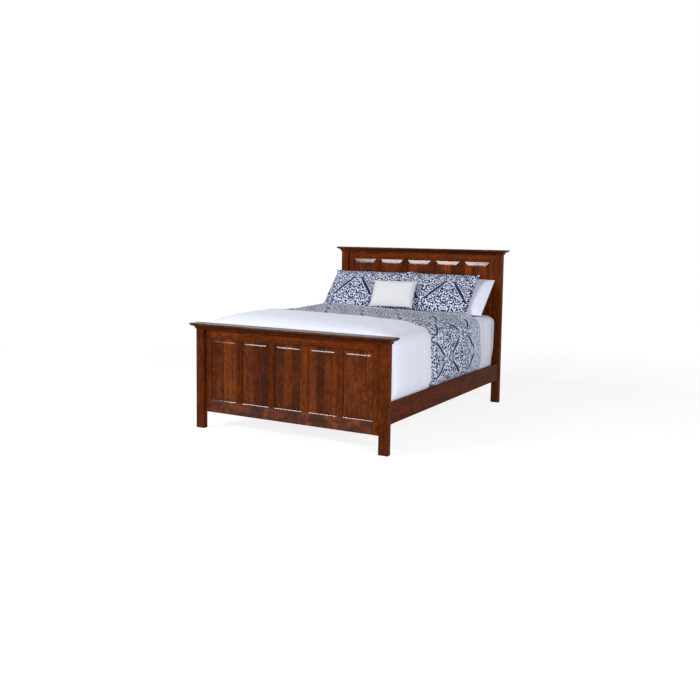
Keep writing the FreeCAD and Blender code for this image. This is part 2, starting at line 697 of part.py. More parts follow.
def board_piece(name, wide, long, tall, x, y, z):
    """Plain board with its long upper and lower edges eased."""
    body = new_body(name)
    face = outline(body, name + "_face", "XY_Plane",
                   [box_loop("-(%s) / 2" % wide, "-(%s) / 2" % long, "(%s) / 2" % wide, "(%s) / 2" % long)])
    pad(body, name + "_thickness", face, tall)
    along = Vector(1, 0, 0) if body.Shape.BoundBox.XLength > body.Shape.BoundBox.YLength else Vector(0, 1, 0)
    round_edges(body, name + "_eased", lambda edge: runs_along(edge, along),
                size("board_ease"), "Chamfer")
    put(body, x, y, z)
    return body


for word, side in (("left", -1), ("right", 1)):
    side_rail(word + "_side_rail", side)

SLAT_SCREW_IN = "dims.cleat_wide / 2"
slat_screws = []
slat_blanks = []
cleat_blanks = []
inside = "(dims.rail_out - dims.rail_thick)"
for word, side in (("left", -1), ("right", 1)):
    cleat_blanks.append(board_piece(
        word + "_cleat_blank", "dims.cleat_wide", "dims.cleat_long", "dims.cleat_high",
        signed(side, inside + " - dims.cleat_wide / 2"), None, "dims.rail_low"))
for number in range(1, 5):
    along = "%s * dims.slat_pitch" % (number - 2.5)
    slat_blanks.append(board_piece(
        "slat_%d_blank" % number, "2 * (%s - dims.slat_play)" % inside, "dims.slat_wide",
        "dims.slat_thick", None, along, SLAT_BOTTOM))
    for word, side in (("left", -1), ("right", 1)):
        screw = wood_screw("slat_%d_%s_screw" % (number, word))
        screw.Placement = Placement(Vector(), Rotation(Vector(1, 0, 0), -90))
        put(screw, signed(side, inside + " - " + SLAT_SCREW_IN), along, BASE_BOTTOM)
        slat_screws.append(screw)
slat_screw_group = group("slat_screws", slat_screws)
for word, blank in zip(("left", "right"), cleat_blanks):
    cut_by(word + "_cleat", blank, slat_screw_group)
for number, blank in enumerate(slat_blanks, start=1):
    cut_by("slat_%d" % number, blank, slat_screw_group)


def round_sketch(body, name, radius, offset=None):
    """Circle around the sketch's origin."""
    sketch = new_sketch(body, name, "XY_Plane", offset)
    sketch.addGeometry(Part.Circle(Vector(), Vector(0, 0, 1), size("glide_stem")), False)
    sketch.addConstraint(Sketcher.Constraint("Coincident", 0, 3, -1, 1))
    held = sketch.addConstraint(Sketcher.Constraint("Radius", 0, size("glide_stem")))
    sketch.renameConstraint(held, "round")
    sketch.setExpression("Constraints.round", radius)
    doc.recompute()
    return sketch


def centre_leg(name, along):
    """Square leg under a slat, bored from below for its glide."""
    body = new_body(name)
    half = "dims.leg_wide / 2"
    section = outline(body, name + "_section", "XY_Plane", [box_loop("-" + half, "-" + half, half, half)])
    pad(body, name + "_length", section, SLAT_BOTTOM + " - dims.leg_low")
    round_edges(body, name + "_eased", lambda edge: runs_along(edge, Vector(0, 0, 1)),
                size("leg_ease"), "Chamfer")
    hole = round_sketch(body, name + "_bore_circle", "dims.glide_stem + dims.stem_room")
    pocket(body, name + "_bore", hole, "dims.glide_long - dims.leg_low + dims.bore_past", backward=True)
    put(body, None, along, "dims.leg_low")
    return finished(body, name)


def leg_glide(name, along):
    """Screw-in glide: hexagonal foot and round stem, drawn without its thread."""
    body = new_body(name)
    foot = outline(body, name + "_foot_edge", "XY_Plane", [regular_loop("dims.glide_foot", 6)])
    pad(body, name + "_foot", foot, "dims.glide_thick")
    round_edges(body, name + "_eased", lambda edge: at_height(edge, 0) or at_height(
        edge, size("glide_thick")), size("glide_ease"), "Chamfer")
    stem = round_sketch(body, name + "_stem_circle", "dims.glide_stem", "dims.glide_thick")
    pad(body, name + "_stem", stem, "dims.glide_long - dims.glide_thick")
    put(body, None, along)
    return finished(body, name)


for number, place in ((1, -0.5), (2, 0.5)):
    along = "%s * dims.slat_pitch" % place
    centre_leg("centre_leg_%d" % number, along)
    leg_glide("leg_glide_%d" % number, along)


# ---- foundation, mattress and bottom sheet ----

RIM_STEPS = 4  # flats that the mattress's upper rim is rounded with


def arc(first, middle, last):
    return Part.Arc(first, middle, last).toShape()


def line(first, last):
    return Part.LineSegment(first, last).toShape()


def rounded_ring(half_wide, half_long, corner, height):
    """Flat rectangle with rounded corners."""
    x, y = half_wide - corner, half_long - corner
    bend = corner * math.sqrt(0.5)
    bends = []
    for across, along in ((1, 1), (-1, 1), (-1, -1), (1, -1)):
        side = Vector(across * half_wide, along * y, height)
        middle = Vector(across * (x + bend), along * (y + bend), height)
        end = Vector(across * x, along * half_long, height)
        bends.append((side, middle, end) if across * along > 0 else (end, middle, side))
    edges = []
    for step, (start, middle, end) in enumerate(bends):
        edges += [arc(start, middle, end), line(end, bends[(step + 1) % 4][0])]
    return Part.Wire(edges)


def soft_block(extra):
    """Mattress, grown outward by a layer: rounded corners, soft upper rim, eased lower rim."""
    half_wide = size("mattress_wide") / 2 + extra
    half_long = size("mattress_long") / 2 + extra
    corner = size("mattress_corner") + extra
    edge = size("mattress_edge") + extra
    low_edge = size("mattress_low_edge")
    top = size("mattress_high") + extra
    rings = [rounded_ring(half_wide - low_edge, half_long - low_edge, corner - low_edge, -extra),
             rounded_ring(half_wide, half_long, corner, low_edge - extra)]
    for step in range(RIM_STEPS + 1):
        turn = math.pi / 2 * step / RIM_STEPS
        inset = edge * (1 - math.cos(turn))
        rings.append(rounded_ring(half_wide - inset, half_long - inset, corner - inset,
                                  top - edge * (1 - math.sin(turn))))
    block = Part.makeLoft(rings, True, True)
    block.translate(Vector(0, size("mattress_mid"), mattress_base))
    return block


def sheet_skirt(extra, low, high):
    """Filled fall of the sheet, grown outward by a layer from the mattress and the foundation."""
    beside_base = (size("base_wide") / 2 + extra, size("base_long") / 2 + extra,
                   size("base_corner") + extra)
    beside_mattress = (size("mattress_wide") / 2 + extra, size("mattress_long") / 2 + extra,
                       size("mattress_corner") + extra)
    skirt = Part.makeLoft([rounded_ring(*beside_base, low), rounded_ring(*beside_base, size("sheet_nip")),
                           rounded_ring(*beside_mattress, high)], True, True)
    skirt.translate(Vector(0, size("mattress_mid"), 0))
    return skirt


def soft_piece(label, shape, place=None):
    feature = doc.addObject("Part::Feature", label)
    feature.Shape = shape
    if place is not None:
        feature.Placement = place
    return finished(feature, label)


foundation = new_body("foundation")
plan = outline(foundation, "foundation_plan", "XY_Plane", [box_loop(
    "-dims.base_wide / 2", "-dims.base_long / 2", "dims.base_wide / 2", "dims.base_long / 2")])
pad(foundation, "foundation_height", plan, "dims.base_high")
round_edges(foundation, "foundation_corners", lambda side: runs_along(side, Vector(0, 0, 1)),
            size("base_corner"))
round_edges(foundation, "foundation_rims", lambda side: at_height(side, 0) or at_height(
    side, size("base_high")), size("base_ease"), "Chamfer")
put(foundation, None, "dims.mattress_mid", BASE_BOTTOM)
doc.recompute()
finished(foundation, "foundation")

mattress_base = foundation.Placement.Base.z + size("base_high")
mattress_shape = soft_block(0)
soft_piece("mattress", mattress_shape)
sheet_thick = size("sheet_thick")
lap_high = mattress_base + size("sheet_lap")
sheeted = soft_block(sheet_thick).fuse(sheet_skirt(sheet_thick, size("sheet_low"), lap_high))
hollow = sheet_skirt(size("sheet_air"), size("sheet_low") - size("cut_past"),
                     lap_high - size("sheet_lap") / 4)
soft_piece("bottom_sheet", sheeted.cut([mattress_shape, hollow]))


# ---- covers: lofts through sections across the bed ----

# station: place along the bed, comforter's top at the left, middle and right, side swell,
# and how far the shoulders have come down: 1 along the bed, less round the foot end
COMFORTER = [
    (-1020, 700, 702, 700, -52, 0.3),
    (-1013, 757, 759, 757, -31, 0.33),
    (-998, 792, 794, 790, -13, 0.4),
    (-965, 817, 814, 809, -2, 0.6),
    (-890, 840, 835, 822, 2, 0.9),
    (-740, 849, 843, 827, -1, 1),
    (-423, 848, 842, 826, 0, 1),
    (-200, 839, 837, 824, 3, 1),
    (60, 840, 833, 821, -3, 1),
    (300, 848, 828, 819, 2, 1),
    (490, 845, 820, 816, -2, 1),
    (575, 837, 814, 812, -4, 0.8),
    (612, 826, 809, 808, -6, 0.4),
]


# one side of a section, from the crown's end to the tucked hem: distance from the bed's middle,
# share of the side swell, drop below the top and how much of it is the shoulder's own
SHOULDER = {
    "crown": (560, 0, 0, 0),
    "brow": (628, 0.3, 0, 13),
    "shoulder": (690, 0.5, 0, 34),
    "turn": (754, 0.8, 40, 14),
    "side_top": (788, 1, 136, 0),
}
# and below the shoulder: distance from the bed's middle, share of the swell, height
SKIRT = {
    "side_low": (800, 1, 470),
    "swag": (794, 0.6, 400),
    "rim": (774, 0.15, 358),
}
NIP_HEIGHT = 347.5
TUCK_X = 763

# the foot end's wall: where it begins to turn down, over what length, and the share of a
# layer's growth that it takes along the bed
FOOT_WALL = (-900, 100, 0.7)


def cover_section(y, left, middle, right, swell, fall, grow):
    """Filled section across the bed, from tucked edge to tucked edge."""
    def flank(side, top):
        """Edges of one side, from the crown out and down."""
        spots = {}
        for name, (out, share, drop, own) in SHOULDER.items():
            outward = grow * min(1, drop / 50) + share * swell
            spots[name] = Vector(side * (out + outward), y,
                                 top - drop - own * fall + grow * max(0, 1 - drop / 100))
        for name, (out, share, height) in SKIRT.items():
            spots[name] = Vector(side * (out + grow + share * swell), y, height)
        tuck = side * (TUCK_X + 0.6 * grow)
        nip = Vector(tuck, y, NIP_HEIGHT)
        hem = Vector(tuck, y, size("cover_tuck"))
        edges = [
            arc(spots["crown"], spots["brow"], spots["shoulder"]),
            arc(spots["shoulder"], spots["turn"], spots["side_top"]),
            line(spots["side_top"], spots["side_low"]),
            arc(spots["side_low"], spots["swag"], spots["rim"]),
            line(spots["rim"], nip),
            line(nip, hem),
        ]
        return edges, spots["crown"], hem

    right_edges, right_crown, right_hem = flank(1, right)
    left_edges, left_crown, left_hem = flank(-1, left)
    top = arc(left_crown, Vector(0, y, middle + grow), right_crown)
    return Part.Wire([top] + right_edges + [line(right_hem, left_hem)] + left_edges[::-1])


def cover_loft(grow, head, past=0):
    """Filled loft of the covers' outside, grown outward by a layer."""
    begins, run, share = FOOT_WALL
    wires = []
    for y, *profile in COMFORTER:
        if y > head:
            break
        near_wall = max(0, min(1, (begins - y) / run))
        wires.append(cover_section(y - share * grow * near_wall, *profile, grow))
    if past:
        last = [profile for y, *profile in COMFORTER if y <= head][-1]
        wires.append(cover_section(head + past, *last, grow))
    return Part.makeLoft(wires, True, True)


def bed_room():
    """Space that the sheeted mattress and the foundation take under the comforter."""
    layer = sheet_thick + size("cover_room")
    return [sheet_skirt(layer, size("cover_tuck") - size("cut_past"), lap_high), soft_block(layer)]


soft_piece("comforter", cover_loft(0, size("comforter_head")).cut(bed_room()))
gap, thick = size("coverlet_gap"), size("coverlet_thick")
soft_piece("coverlet", cover_loft(gap + thick, size("coverlet_head")).cut(
    cover_loft(gap, size("coverlet_head"), past=size("cut_past"))))


# ---- pillows: what two crowned lengths and a drawn-in outline have in common ----

# name: width, height, front and rear fullness, draw of the sides, place of the lower edge's
# middle (x, y, z), lean from upright and turn about the vertical, in degrees
PILLOWS = {
    "left_pillow": (700, 440, 27, 58, 16, (-400, 722, 784), 48, 0),
    "right_pillow": (700, 440, 27, 58, 16, (395, 722, 784), 48, 0),
    "left_sham": (785, 464, 66, 22, 22, (-408, 656, 783), 42, 1),
    "right_sham": (665, 464, 66, 22, 22, (322, 656, 783), 42, -1),
    "lumbar_pillow": (405, 282, 46, 30, 10, (-26, 558, 826), 33, 8),
}

SEAM_HALF = 2      # half the thickness at the seam
SIDE_CROWN = 1.2   # fullness of the profile across, against the upright one


def lens(half, front, rear, turn):
    """Crowned profile, thin at its ends: a face across the pillow, seen along its length."""
    def spot(out, depth):
        return turn.multVec(Vector(out, depth, 0))

    return Part.Face(Part.Wire([
        arc(spot(-half, -SEAM_HALF), spot(0, -front), spot(half, -SEAM_HALF)),
        line(spot(half, -SEAM_HALF), spot(half, SEAM_HALF)),
        arc(spot(half, SEAM_HALF), spot(0, rear), spot(-half, SEAM_HALF)),
        line(spot(-half, SEAM_HALF), spot(-half, -SEAM_HALF))]))


def pillow_plan(wide, tall, draw, depth):
    """Outline on the seam, whose four sides are drawn in between the corners."""
    x, z = wide / 2, tall / 2
    corners = [Vector(-x, depth, -z), Vector(x, depth, -z), Vector(x, depth, z), Vector(-x, depth, z)]
    middles = [Vector(0, depth, draw - z), Vector(x - draw, depth, 0),
               Vector(0, depth, z - draw), Vector(draw - x, depth, 0)]
    return Part.Face(Part.Wire([arc(corners[step], middles[step], corners[(step + 1) % 4])
                                for step in range(4)]))


for label, (wide, tall, front, rear, draw, foot, lean, turn) in PILLOWS.items():
    upright = lens(tall / 2, front, rear, Rotation(Vector(0, 1, 0), -90))
    upright.translate(Vector(-wide / 2, 0, 0))
    crown_up = upright.extrude(Vector(wide, 0, 0))
    level = lens(wide / 2, SIDE_CROWN * front, SIDE_CROWN * rear, Rotation())
    level.translate(Vector(0, 0, -tall / 2))
    crown_across = level.extrude(Vector(0, 0, tall))
    past = 2 * (front + rear)
    drawn = pillow_plan(wide, tall, draw, -past).extrude(Vector(0, 2 * past, 0))
    tilt = Rotation(Vector(0, 0, 1), turn) * Rotation(Vector(1, 0, 0), -lean)
    middle = Vector(*foot) + tilt.multVec(Vector(0, 0, tall / 2))
    soft_piece(label, crown_up.common(crown_across).common(drawn), Placement(middle, tilt))


# ---- check and write ----

doc.recompute()
for item in doc.Objects:
    if "Invalid" in item.State or "Error" in item.State:
        raise RuntimeError("failed object: %s %s" % (item.Name, item.State))
os.makedirs("parts", exist_ok=True)
for piece in pieces:
    shape = piece.Shape
    if shape.isNull() or not shape.isValid():
        raise RuntimeError("bad shape: " + piece.Label)
    if not shape.Solids:
        raise RuntimeError("no solid: " + piece.Label)
for piece in pieces:
    piece.Shape.exportStep("parts/%s.step" % piece.Label)
print("%d sub-parts written" % len(pieces))
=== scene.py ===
import math
import bpy
import numpy as np
from mathutils import Matrix, Vector, noise


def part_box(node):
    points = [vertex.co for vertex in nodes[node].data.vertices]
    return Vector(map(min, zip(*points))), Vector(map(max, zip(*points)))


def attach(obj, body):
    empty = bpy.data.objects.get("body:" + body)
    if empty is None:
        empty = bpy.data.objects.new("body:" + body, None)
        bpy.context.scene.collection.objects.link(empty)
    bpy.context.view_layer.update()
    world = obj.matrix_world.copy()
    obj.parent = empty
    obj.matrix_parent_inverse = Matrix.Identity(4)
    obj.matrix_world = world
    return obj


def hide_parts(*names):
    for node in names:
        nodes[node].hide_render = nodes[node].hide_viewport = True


# Queen panel bed in stained cherry, dressed with a damask comforter, a white coverlet and pillows.
# Everything is in metres: +X right seen from the foot, +Y to the headboard, +Z up.

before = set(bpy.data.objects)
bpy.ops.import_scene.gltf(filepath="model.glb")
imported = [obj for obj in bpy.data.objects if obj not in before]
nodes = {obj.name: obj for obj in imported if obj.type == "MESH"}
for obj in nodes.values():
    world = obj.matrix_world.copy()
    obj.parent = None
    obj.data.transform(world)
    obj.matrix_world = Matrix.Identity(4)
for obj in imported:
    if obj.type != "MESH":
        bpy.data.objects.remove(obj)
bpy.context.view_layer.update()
print("stage 1: frame loaded,", len(nodes), "parts")

# the photograph's camera, solved from the bed's straight edges
photoView = {
    "place": (3.2586, -6.0144, 1.4568),
    "turn": 29.02,       # degrees to the left of straight ahead
    "dip": 5.26,         # degrees below level
    "roll": 0.84,
    "lens": 43.79,
    "shift": (-0.0051, -0.0539),
}


def placeCamera():
    turn, dip, roll = (math.radians(photoView[key]) for key in ("turn", "dip", "roll"))
    ahead = Vector((-math.sin(turn) * math.cos(dip), math.cos(turn) * math.cos(dip), -math.sin(dip)))
    level = Vector((math.cos(turn), math.sin(turn), 0))
    above = level.cross(ahead)
    right = math.cos(roll) * level + math.sin(roll) * above
    up = math.cos(roll) * above - math.sin(roll) * level
    lensData = bpy.data.cameras.new("photoCamera")
    lensData.lens = photoView["lens"]
    lensData.sensor_width = 36
    lensData.shift_x, lensData.shift_y = photoView["shift"]
    lensData.clip_end = 60
    camera = bpy.data.objects.new("photoCamera", lensData)
    facing = Matrix((right, up, -ahead)).transposed().to_4x4()
    camera.matrix_world = Matrix.Translation(photoView["place"]) @ facing
    bpy.context.scene.collection.objects.link(camera)
    bpy.context.scene.camera = camera


placeCamera()


# shader building

class Recipe:
    # wraps a material's node tree so that a finish reads from top to bottom
    def __init__(self, name, **sockets):
        self.material = bpy.data.materials.new(name)
        self.material.use_nodes = True
        self.tree = self.material.node_tree
        self.shader = self.tree.nodes["Principled BSDF"]
        for socket, value in sockets.items():
            self.shader.inputs[socket.replace("_", " ")].default_value = value

    def add(self, kind, settings=None, **inputs):
        node = self.tree.nodes.new("ShaderNode" + kind)
        for key, value in (settings or {}).items():
            setattr(node, key, value)
        for key, value in inputs.items():
            self.feed(node.inputs[key.replace("_", " ")], value)
        return node

    def feed(self, socket, value):
        if isinstance(value, bpy.types.NodeSocket):
            self.tree.links.new(value, socket)
        else:
            socket.default_value = value

    def sum(self, operation, first, second=0.0, third=0.0):
        node = self.add("Math", {"operation": operation})
        for index, value in enumerate((first, second, third)):
            self.feed(node.inputs[index], value)
        return node.outputs[0]

    def parts(self, vector):
        node = self.add("SeparateXYZ", Vector=vector)
        return node.outputs[0], node.outputs[1], node.outputs[2]

    def join(self, x, y, z=0.0):
        return self.add("CombineXYZ", X=x, Y=y, Z=z).outputs[0]

    def place(self):
        return self.add("TexCoord").outputs["Object"]

    def cloth(self):
        return self.add("UVMap").outputs[0]

    def stretch(self, vector, scale):
        return self.add("Mapping", Vector=vector, Scale=scale).outputs[0]

    def grain(self, vector, scale, detail, rough=0.5, swirl=0.0):
        return self.add("TexNoise", Vector=vector, Scale=scale, Detail=detail, Roughness=rough,
                        Distortion=swirl).outputs["Fac"]

    def ramp(self, value, stops):
        node = self.add("ValToRGB", Fac=value)
        steps = node.color_ramp.elements
        while len(steps) < len(stops):
            steps.new(0.5)
        for step, (where, colour) in zip(steps, stops):
            step.position = where
            step.color = (*colour, 1)
        return node.outputs[0]

    def fade(self, value, low, high, start=0.0, end=1.0):
        node = self.add("MapRange", {"interpolation_type": "SMOOTHSTEP"}, Value=value)
        for index, number in enumerate((low, high, start, end)):
            self.feed(node.inputs[index + 1], number)
        return node.outputs[0]

    def mix(self, amount, first, second):
        node = self.add("Mix", {"data_type": "RGBA"})
        for index, value in ((0, amount), (6, first), (7, second)):
            if not isinstance(value, bpy.types.NodeSocket) and index:
                value = (*value, 1)
            self.feed(node.inputs[index], value)
        return node.outputs[2]

    def relief(self, *layers):
        # layers of (height, strength, depth in metres), the coarsest first
        normal = None
        for height, strength, depth in layers:
            node = self.add("Bump", Strength=strength, Distance=depth, Height=height)
            if normal is not None:
                self.feed(node.inputs["Normal"], normal)
            normal = node.outputs[0]
        self.feed(self.shader.inputs["Normal"], normal)

    def colour(self, value):
        self.feed(self.shader.inputs["Base Color"], value)

    def rough(self, value):
        self.feed(self.shader.inputs["Roughness"], value)


cherry = {
    "pale": (0.185, 0.039, 0.0036),
    "mid": (0.088, 0.0158, 0.0014),
    "dark": (0.038, 0.0066, 0.001),
    "pore": (0.014, 0.004, 0.001),
    "poreDepth": 0.45,   # how strongly the pores darken
    "gloss": 0.32,
    "stave": 0.066,      # width of the boards that a panel is glued from
    "staveShift": 0.17,  # how much one board differs from the next
    # each layer of the grain: marks per metre, stretch along the grain, detail, roughness and swirl
    "grain": {
        "figure": (7.0, 0.085, 3.0, 0.55, 0.9),
        "bands": (42.0, 0.085, 4.0, 0.6, 0.4),
        "fleck": (80.0, 0.34, 2.0, 0.7, 0.3),
        "hair": (420.0, 0.025, 3.0, 0.6, 0.0),
    },
    "share": {"figure": 0.3, "bands": 0.25, "fleck": 0.45},    # of these layers in the colour
    "cloud": (7.0, 5.0, 0.65, 0.8),    # the mottling, which isn't stretched
}


def cherryWood(name, along, tone, mottle=0.12, staves=None, lacquer=0.08, haze=0.1):
    # along is the axis that the grain follows: 0, 1 or 2; staves moves the joints of a glued panel
    wood = Recipe(name, Coat_Weight=lacquer, Coat_Roughness=haze, Specular_IOR_Level=0.01)
    place = wood.place()
    shift = None
    if staves is not None:
        x, y, z = wood.parts(place)
        board = wood.sum("FLOOR", wood.sum("DIVIDE", wood.sum("ADD", x, staves), cherry["stave"]))
        shift = wood.add("TexWhiteNoise", {"noise_dimensions": "1D"}, W=board).outputs["Value"]
        place = wood.join(x, y, wood.sum("MULTIPLY_ADD", shift, 7.0, z))

    def layer(marks, slim, detail, rough, swirl):
        scale = [slim if axis == along else 1.0 for axis in range(3)]
        return wood.grain(wood.stretch(place, scale), marks, detail, rough, swirl)

    grain = {kind: layer(*look) for kind, look in cherry["grain"].items()}
    cloud = wood.grain(place, *cherry["cloud"])
    blend = wood.sum("MULTIPLY", wood.sum("SUBTRACT", cloud, 0.5), mottle * 2)
    for kind, share in cherry["share"].items():
        blend = wood.sum("MULTIPLY_ADD", grain[kind], share, blend)
    if shift is not None:
        blend = wood.sum("MULTIPLY_ADD", wood.sum("SUBTRACT", shift, 0.5), cherry["staveShift"], blend)
    base = wood.ramp(blend, [(0.36, cherry["dark"]), (0.5, cherry["mid"]), (0.66, cherry["pale"])])
    pores = wood.fade(grain["hair"], 0.3, 0.42, 1.0, 0.0)
    base = wood.mix(wood.sum("MULTIPLY", pores, cherry["poreDepth"]), base, cherry["pore"])
    bright = wood.add("HueSaturation", Hue=0.5, Saturation=1.0, Value=tone, Fac=1.0, Color=base)
    wood.colour(bright.outputs[0])
    wood.rough(wood.fade(grain["bands"], 0.3, 0.7, cherry["gloss"] - 0.05, cherry["gloss"] + 0.08))
    wood.relief((grain["bands"], 0.03, 0.0003), (grain["hair"], 0.05, 0.0001))
    return wood.material


poplar = {"pale": (0.66, 0.5, 0.32), "green": (0.52, 0.47, 0.3), "line": (0.42, 0.3, 0.17)}


def plainPoplar(name, along):
    wood = Recipe(name, Specular_IOR_Level=0.3)
    slim = [1.0, 1.0, 1.0]
    slim[along] = 0.06
    fibre = wood.stretch(wood.place(), slim)
    rings = wood.grain(fibre, 30.0, 4.0, 0.6, 0.7)
    slim[along] = 60.0
    saw = wood.grain(wood.stretch(wood.place(), slim), 9.0, 1.0)
    base = wood.ramp(rings, [(0.3, poplar["line"]), (0.48, poplar["pale"]), (0.75, poplar["green"])])
    wood.colour(base)
    wood.rough(wood.fade(rings, 0.3, 0.7, 0.62, 0.78))
    wood.relief((saw, 0.15, 0.0005), (rings, 0.25, 0.0005))
    return wood.material


def zincSteel(name):
    steel = Recipe(name, Metallic=1.0)
    place = steel.place()
    spangle = steel.grain(place, 160.0, 3.0, 0.6)
    brushed = steel.grain(steel.stretch(place, (1.0, 1.0, 0.05)), 900.0, 2.0)
    steel.colour(steel.ramp(spangle, [(0.3, (0.42, 0.42, 0.41)), (0.7, (0.66, 0.66, 0.63))]))
    steel.rough(steel.fade(brushed, 0.3, 0.7, 0.28, 0.42))
    steel.relief((brushed, 0.1, 0.0002))
    return steel.material


def blackNylon(name):
    nylon = Recipe(name)
    skin = nylon.grain(nylon.place(), 1400.0, 3.0, 0.6)
    nylon.colour(nylon.ramp(skin, [(0.3, (0.018, 0.018, 0.019)), (0.7, (0.04, 0.04, 0.042))]))
    nylon.rough(nylon.fade(skin, 0.3, 0.7, 0.42, 0.55))
    nylon.relief((skin, 0.3, 0.0002))
    return nylon.material


def weaveHeight(cloth, place, pitch):
    # plain weave as two crossed waves, from the cloth's own flat coordinates in metres
    u, v, _ = cloth.parts(place)
    warp = cloth.sum("SINE", cloth.sum("MULTIPLY", u, 2 * math.pi / pitch))
    weft = cloth.sum("SINE", cloth.sum("MULTIPLY", v, 2 * math.pi / pitch))
    return cloth.sum("MULTIPLY_ADD", cloth.sum("MULTIPLY", warp, weft), 0.5, 0.5)


cottons = {
    "sheetWhite": {"pale": (0.84, 0.875, 0.99), "shade": (0.79, 0.83, 0.98), "pitch": 0.0011, "folds": 0.028},
    "pillowWhite": {"pale": (0.78, 0.8, 0.93), "shade": (0.72, 0.745, 0.89), "pitch": 0.0011},
    "ticking": {"pale": (0.78, 0.79, 0.82), "shade": (0.7, 0.71, 0.75), "pitch": 0.0018},
}


def plainCotton(name, kind):
    look = cottons[kind]
    cotton = Recipe(name, Sheen_Weight=0.25, Sheen_Roughness=0.5, Specular_IOR_Level=0.25)
    flat = cotton.cloth()
    weave = weaveHeight(cotton, flat, look["pitch"])
    slub = cotton.grain(cotton.stretch(flat, (1.0, 0.15, 1.0)), 160.0, 3.0, 0.6)
    crease = cotton.grain(flat, 9.0, 4.0, 0.6, 0.6)
    folds = cotton.grain(cotton.stretch(flat, (1.0, 0.1, 1.0)), 17.0, 1.0, 0.5, 0.5)
    cotton.colour(cotton.mix(cotton.fade(slub, 0.35, 0.7), look["pale"], look["shade"]))
    cotton.rough(cotton.fade(slub, 0.3, 0.7, 0.8, 0.92))
    cotton.relief((folds, 0.6, look.get("folds", 0.0005)), (crease, 0.25, 0.006), (slub, 0.15, 0.0006),
                  (weave, 0.35, 0.0003))
    return cotton.material


matelasse = {
    "pale": (0.79, 0.82, 0.95),
    # shade is painted shade, for the hollows between the puffs
    "shade": (0.755, 0.785, 0.925),
    "cell": 0.03,        # one puffed leaf of the pattern
    "puff": 0.0014,
}


def whiteMatelasse(name):
    cover = Recipe(name, Sheen_Weight=0.2, Sheen_Roughness=0.5, Specular_IOR_Level=0.2)
    flat = cover.cloth()
    bent = cover.grain(flat, 14.0, 2.0)
    u, v, _ = cover.parts(flat)
    bentFlat = cover.join(cover.sum("MULTIPLY_ADD", bent, 0.03, u), cover.sum("MULTIPLY_ADD", bent, -0.03, v))
    cells = cover.add("TexVoronoi", {"feature": "SMOOTH_F1"}, Vector=bentFlat, Scale=1 / matelasse["cell"],
                      Smoothness=0.35).outputs["Distance"]
    puff = cover.fade(cells, 0.15, 0.62, 1.0, 0.0)
    weave = weaveHeight(cover, flat, 0.0013)
    # the hollows between the puffs take the darker colour: painted shade
    cover.colour(cover.mix(puff, matelasse["shade"], matelasse["pale"]))
    cover.rough(cover.fade(puff, 0.0, 1.0, 0.92, 0.8))
    cover.relief((puff, 0.6, matelasse["puff"]), (weave, 0.3, 0.0003))
    return cover.material


# the printed damask: an ogee lattice of navy strokes over close leafy scrollwork
damask = {
    "ground": (0.74, 0.79, 0.95),
    "mist": (0.42, 0.47, 0.6),
    "misty": 0.15,           # how much mist drifts over the ground
    "navy": (0.018, 0.026, 0.08),
    "cell": (0.38, 0.72),    # one ogee, across and along
    "lean": 0.25,            # how far the ogee's sides swing, as a share of its width
    "tip": 0.72,             # where in that swing a stroke ends
    "knotAt": 0.62,          # where its thickened end has its middle
    "knot": 1.25,            # how much wider a stroke's ends are
    "ragged": 0.024,         # how much the strokes' edges wander
    "scroll": 0.062,         # from one scroll's eye to the next
    "scatter": 0.75,         # how far the eyes stand off an even grid
    "turns": 17.0,           # how tightly a scroll winds
    "anyTurn": 6.28,         # a scroll may start at any angle
    "leafy": 1.5,            # how far leaves break its edges
    "clumps": 2.1,           # how much the leaves gather in clusters
    "paleFrom": 1.47,        # length of comforter after which the print is paler
    "paleTo": 0.6,           # and what is left of its ink there
}
# where the lattice starts, the lattice's and the scrollwork's size, half the width of a stroke,
# how far the scrolls are drawn out along the cloth, and how dark they are
prints = {
    "comforter": {"start": (0.05, 0.1), "ogee": 0.85, "size": 0.82, "stroke": 0.0125,
                  "drawn": 1.5, "ink": -0.08},
    "left_sham": {"start": (-0.075, -0.22), "ogee": 1.17, "size": 0.76, "stroke": 0.014,
                  "drawn": 1.0, "ink": 0.2},
    "right_sham": {"start": (0.1, -0.23), "ogee": 1.17, "size": 0.76, "stroke": 0.014,
                   "drawn": 1.0, "ink": 0.2},
}


def strokeGap(cloth, look, x, y, wide, ragged):
    # distance from the nearest stroke's edge in metres, less than nothing inside the stroke
    sway = cloth.sum("COSINE", cloth.sum("MULTIPLY", y, 2 * math.pi))
    lean = cloth.sum("MULTIPLY", sway, damask["lean"])
    sides = [cloth.sum("ABSOLUTE", cloth.sum("SUBTRACT", cloth.sum(
        "FRACT", cloth.sum("ADD", cloth.sum(how, x, lean), place)), 0.5))
        for how, place in (("SUBTRACT", 0.25), ("ADD", -0.25))]
    off = cloth.sum("MULTIPLY", cloth.sum("MINIMUM", *sides), 0.8 * wide)
    swung = cloth.sum("ABSOLUTE", sway)
    taper = cloth.sum("SUBTRACT", 1.0, cloth.sum("POWER", cloth.sum("DIVIDE", swung, damask["tip"]), 3.0))
    knot = cloth.fade(cloth.sum("ABSOLUTE", cloth.sum("SUBTRACT", swung, damask["knotAt"])),
                      0.0, 0.07, damask["knot"] * look["stroke"], 0.0)
    half = cloth.sum("MULTIPLY_ADD", taper, look["stroke"], knot)
    even = cloth.sum("SUBTRACT", off, damask["ragged"] / 2)
    return cloth.sum("SUBTRACT", cloth.sum("MULTIPLY_ADD", ragged, damask["ragged"], even), half)


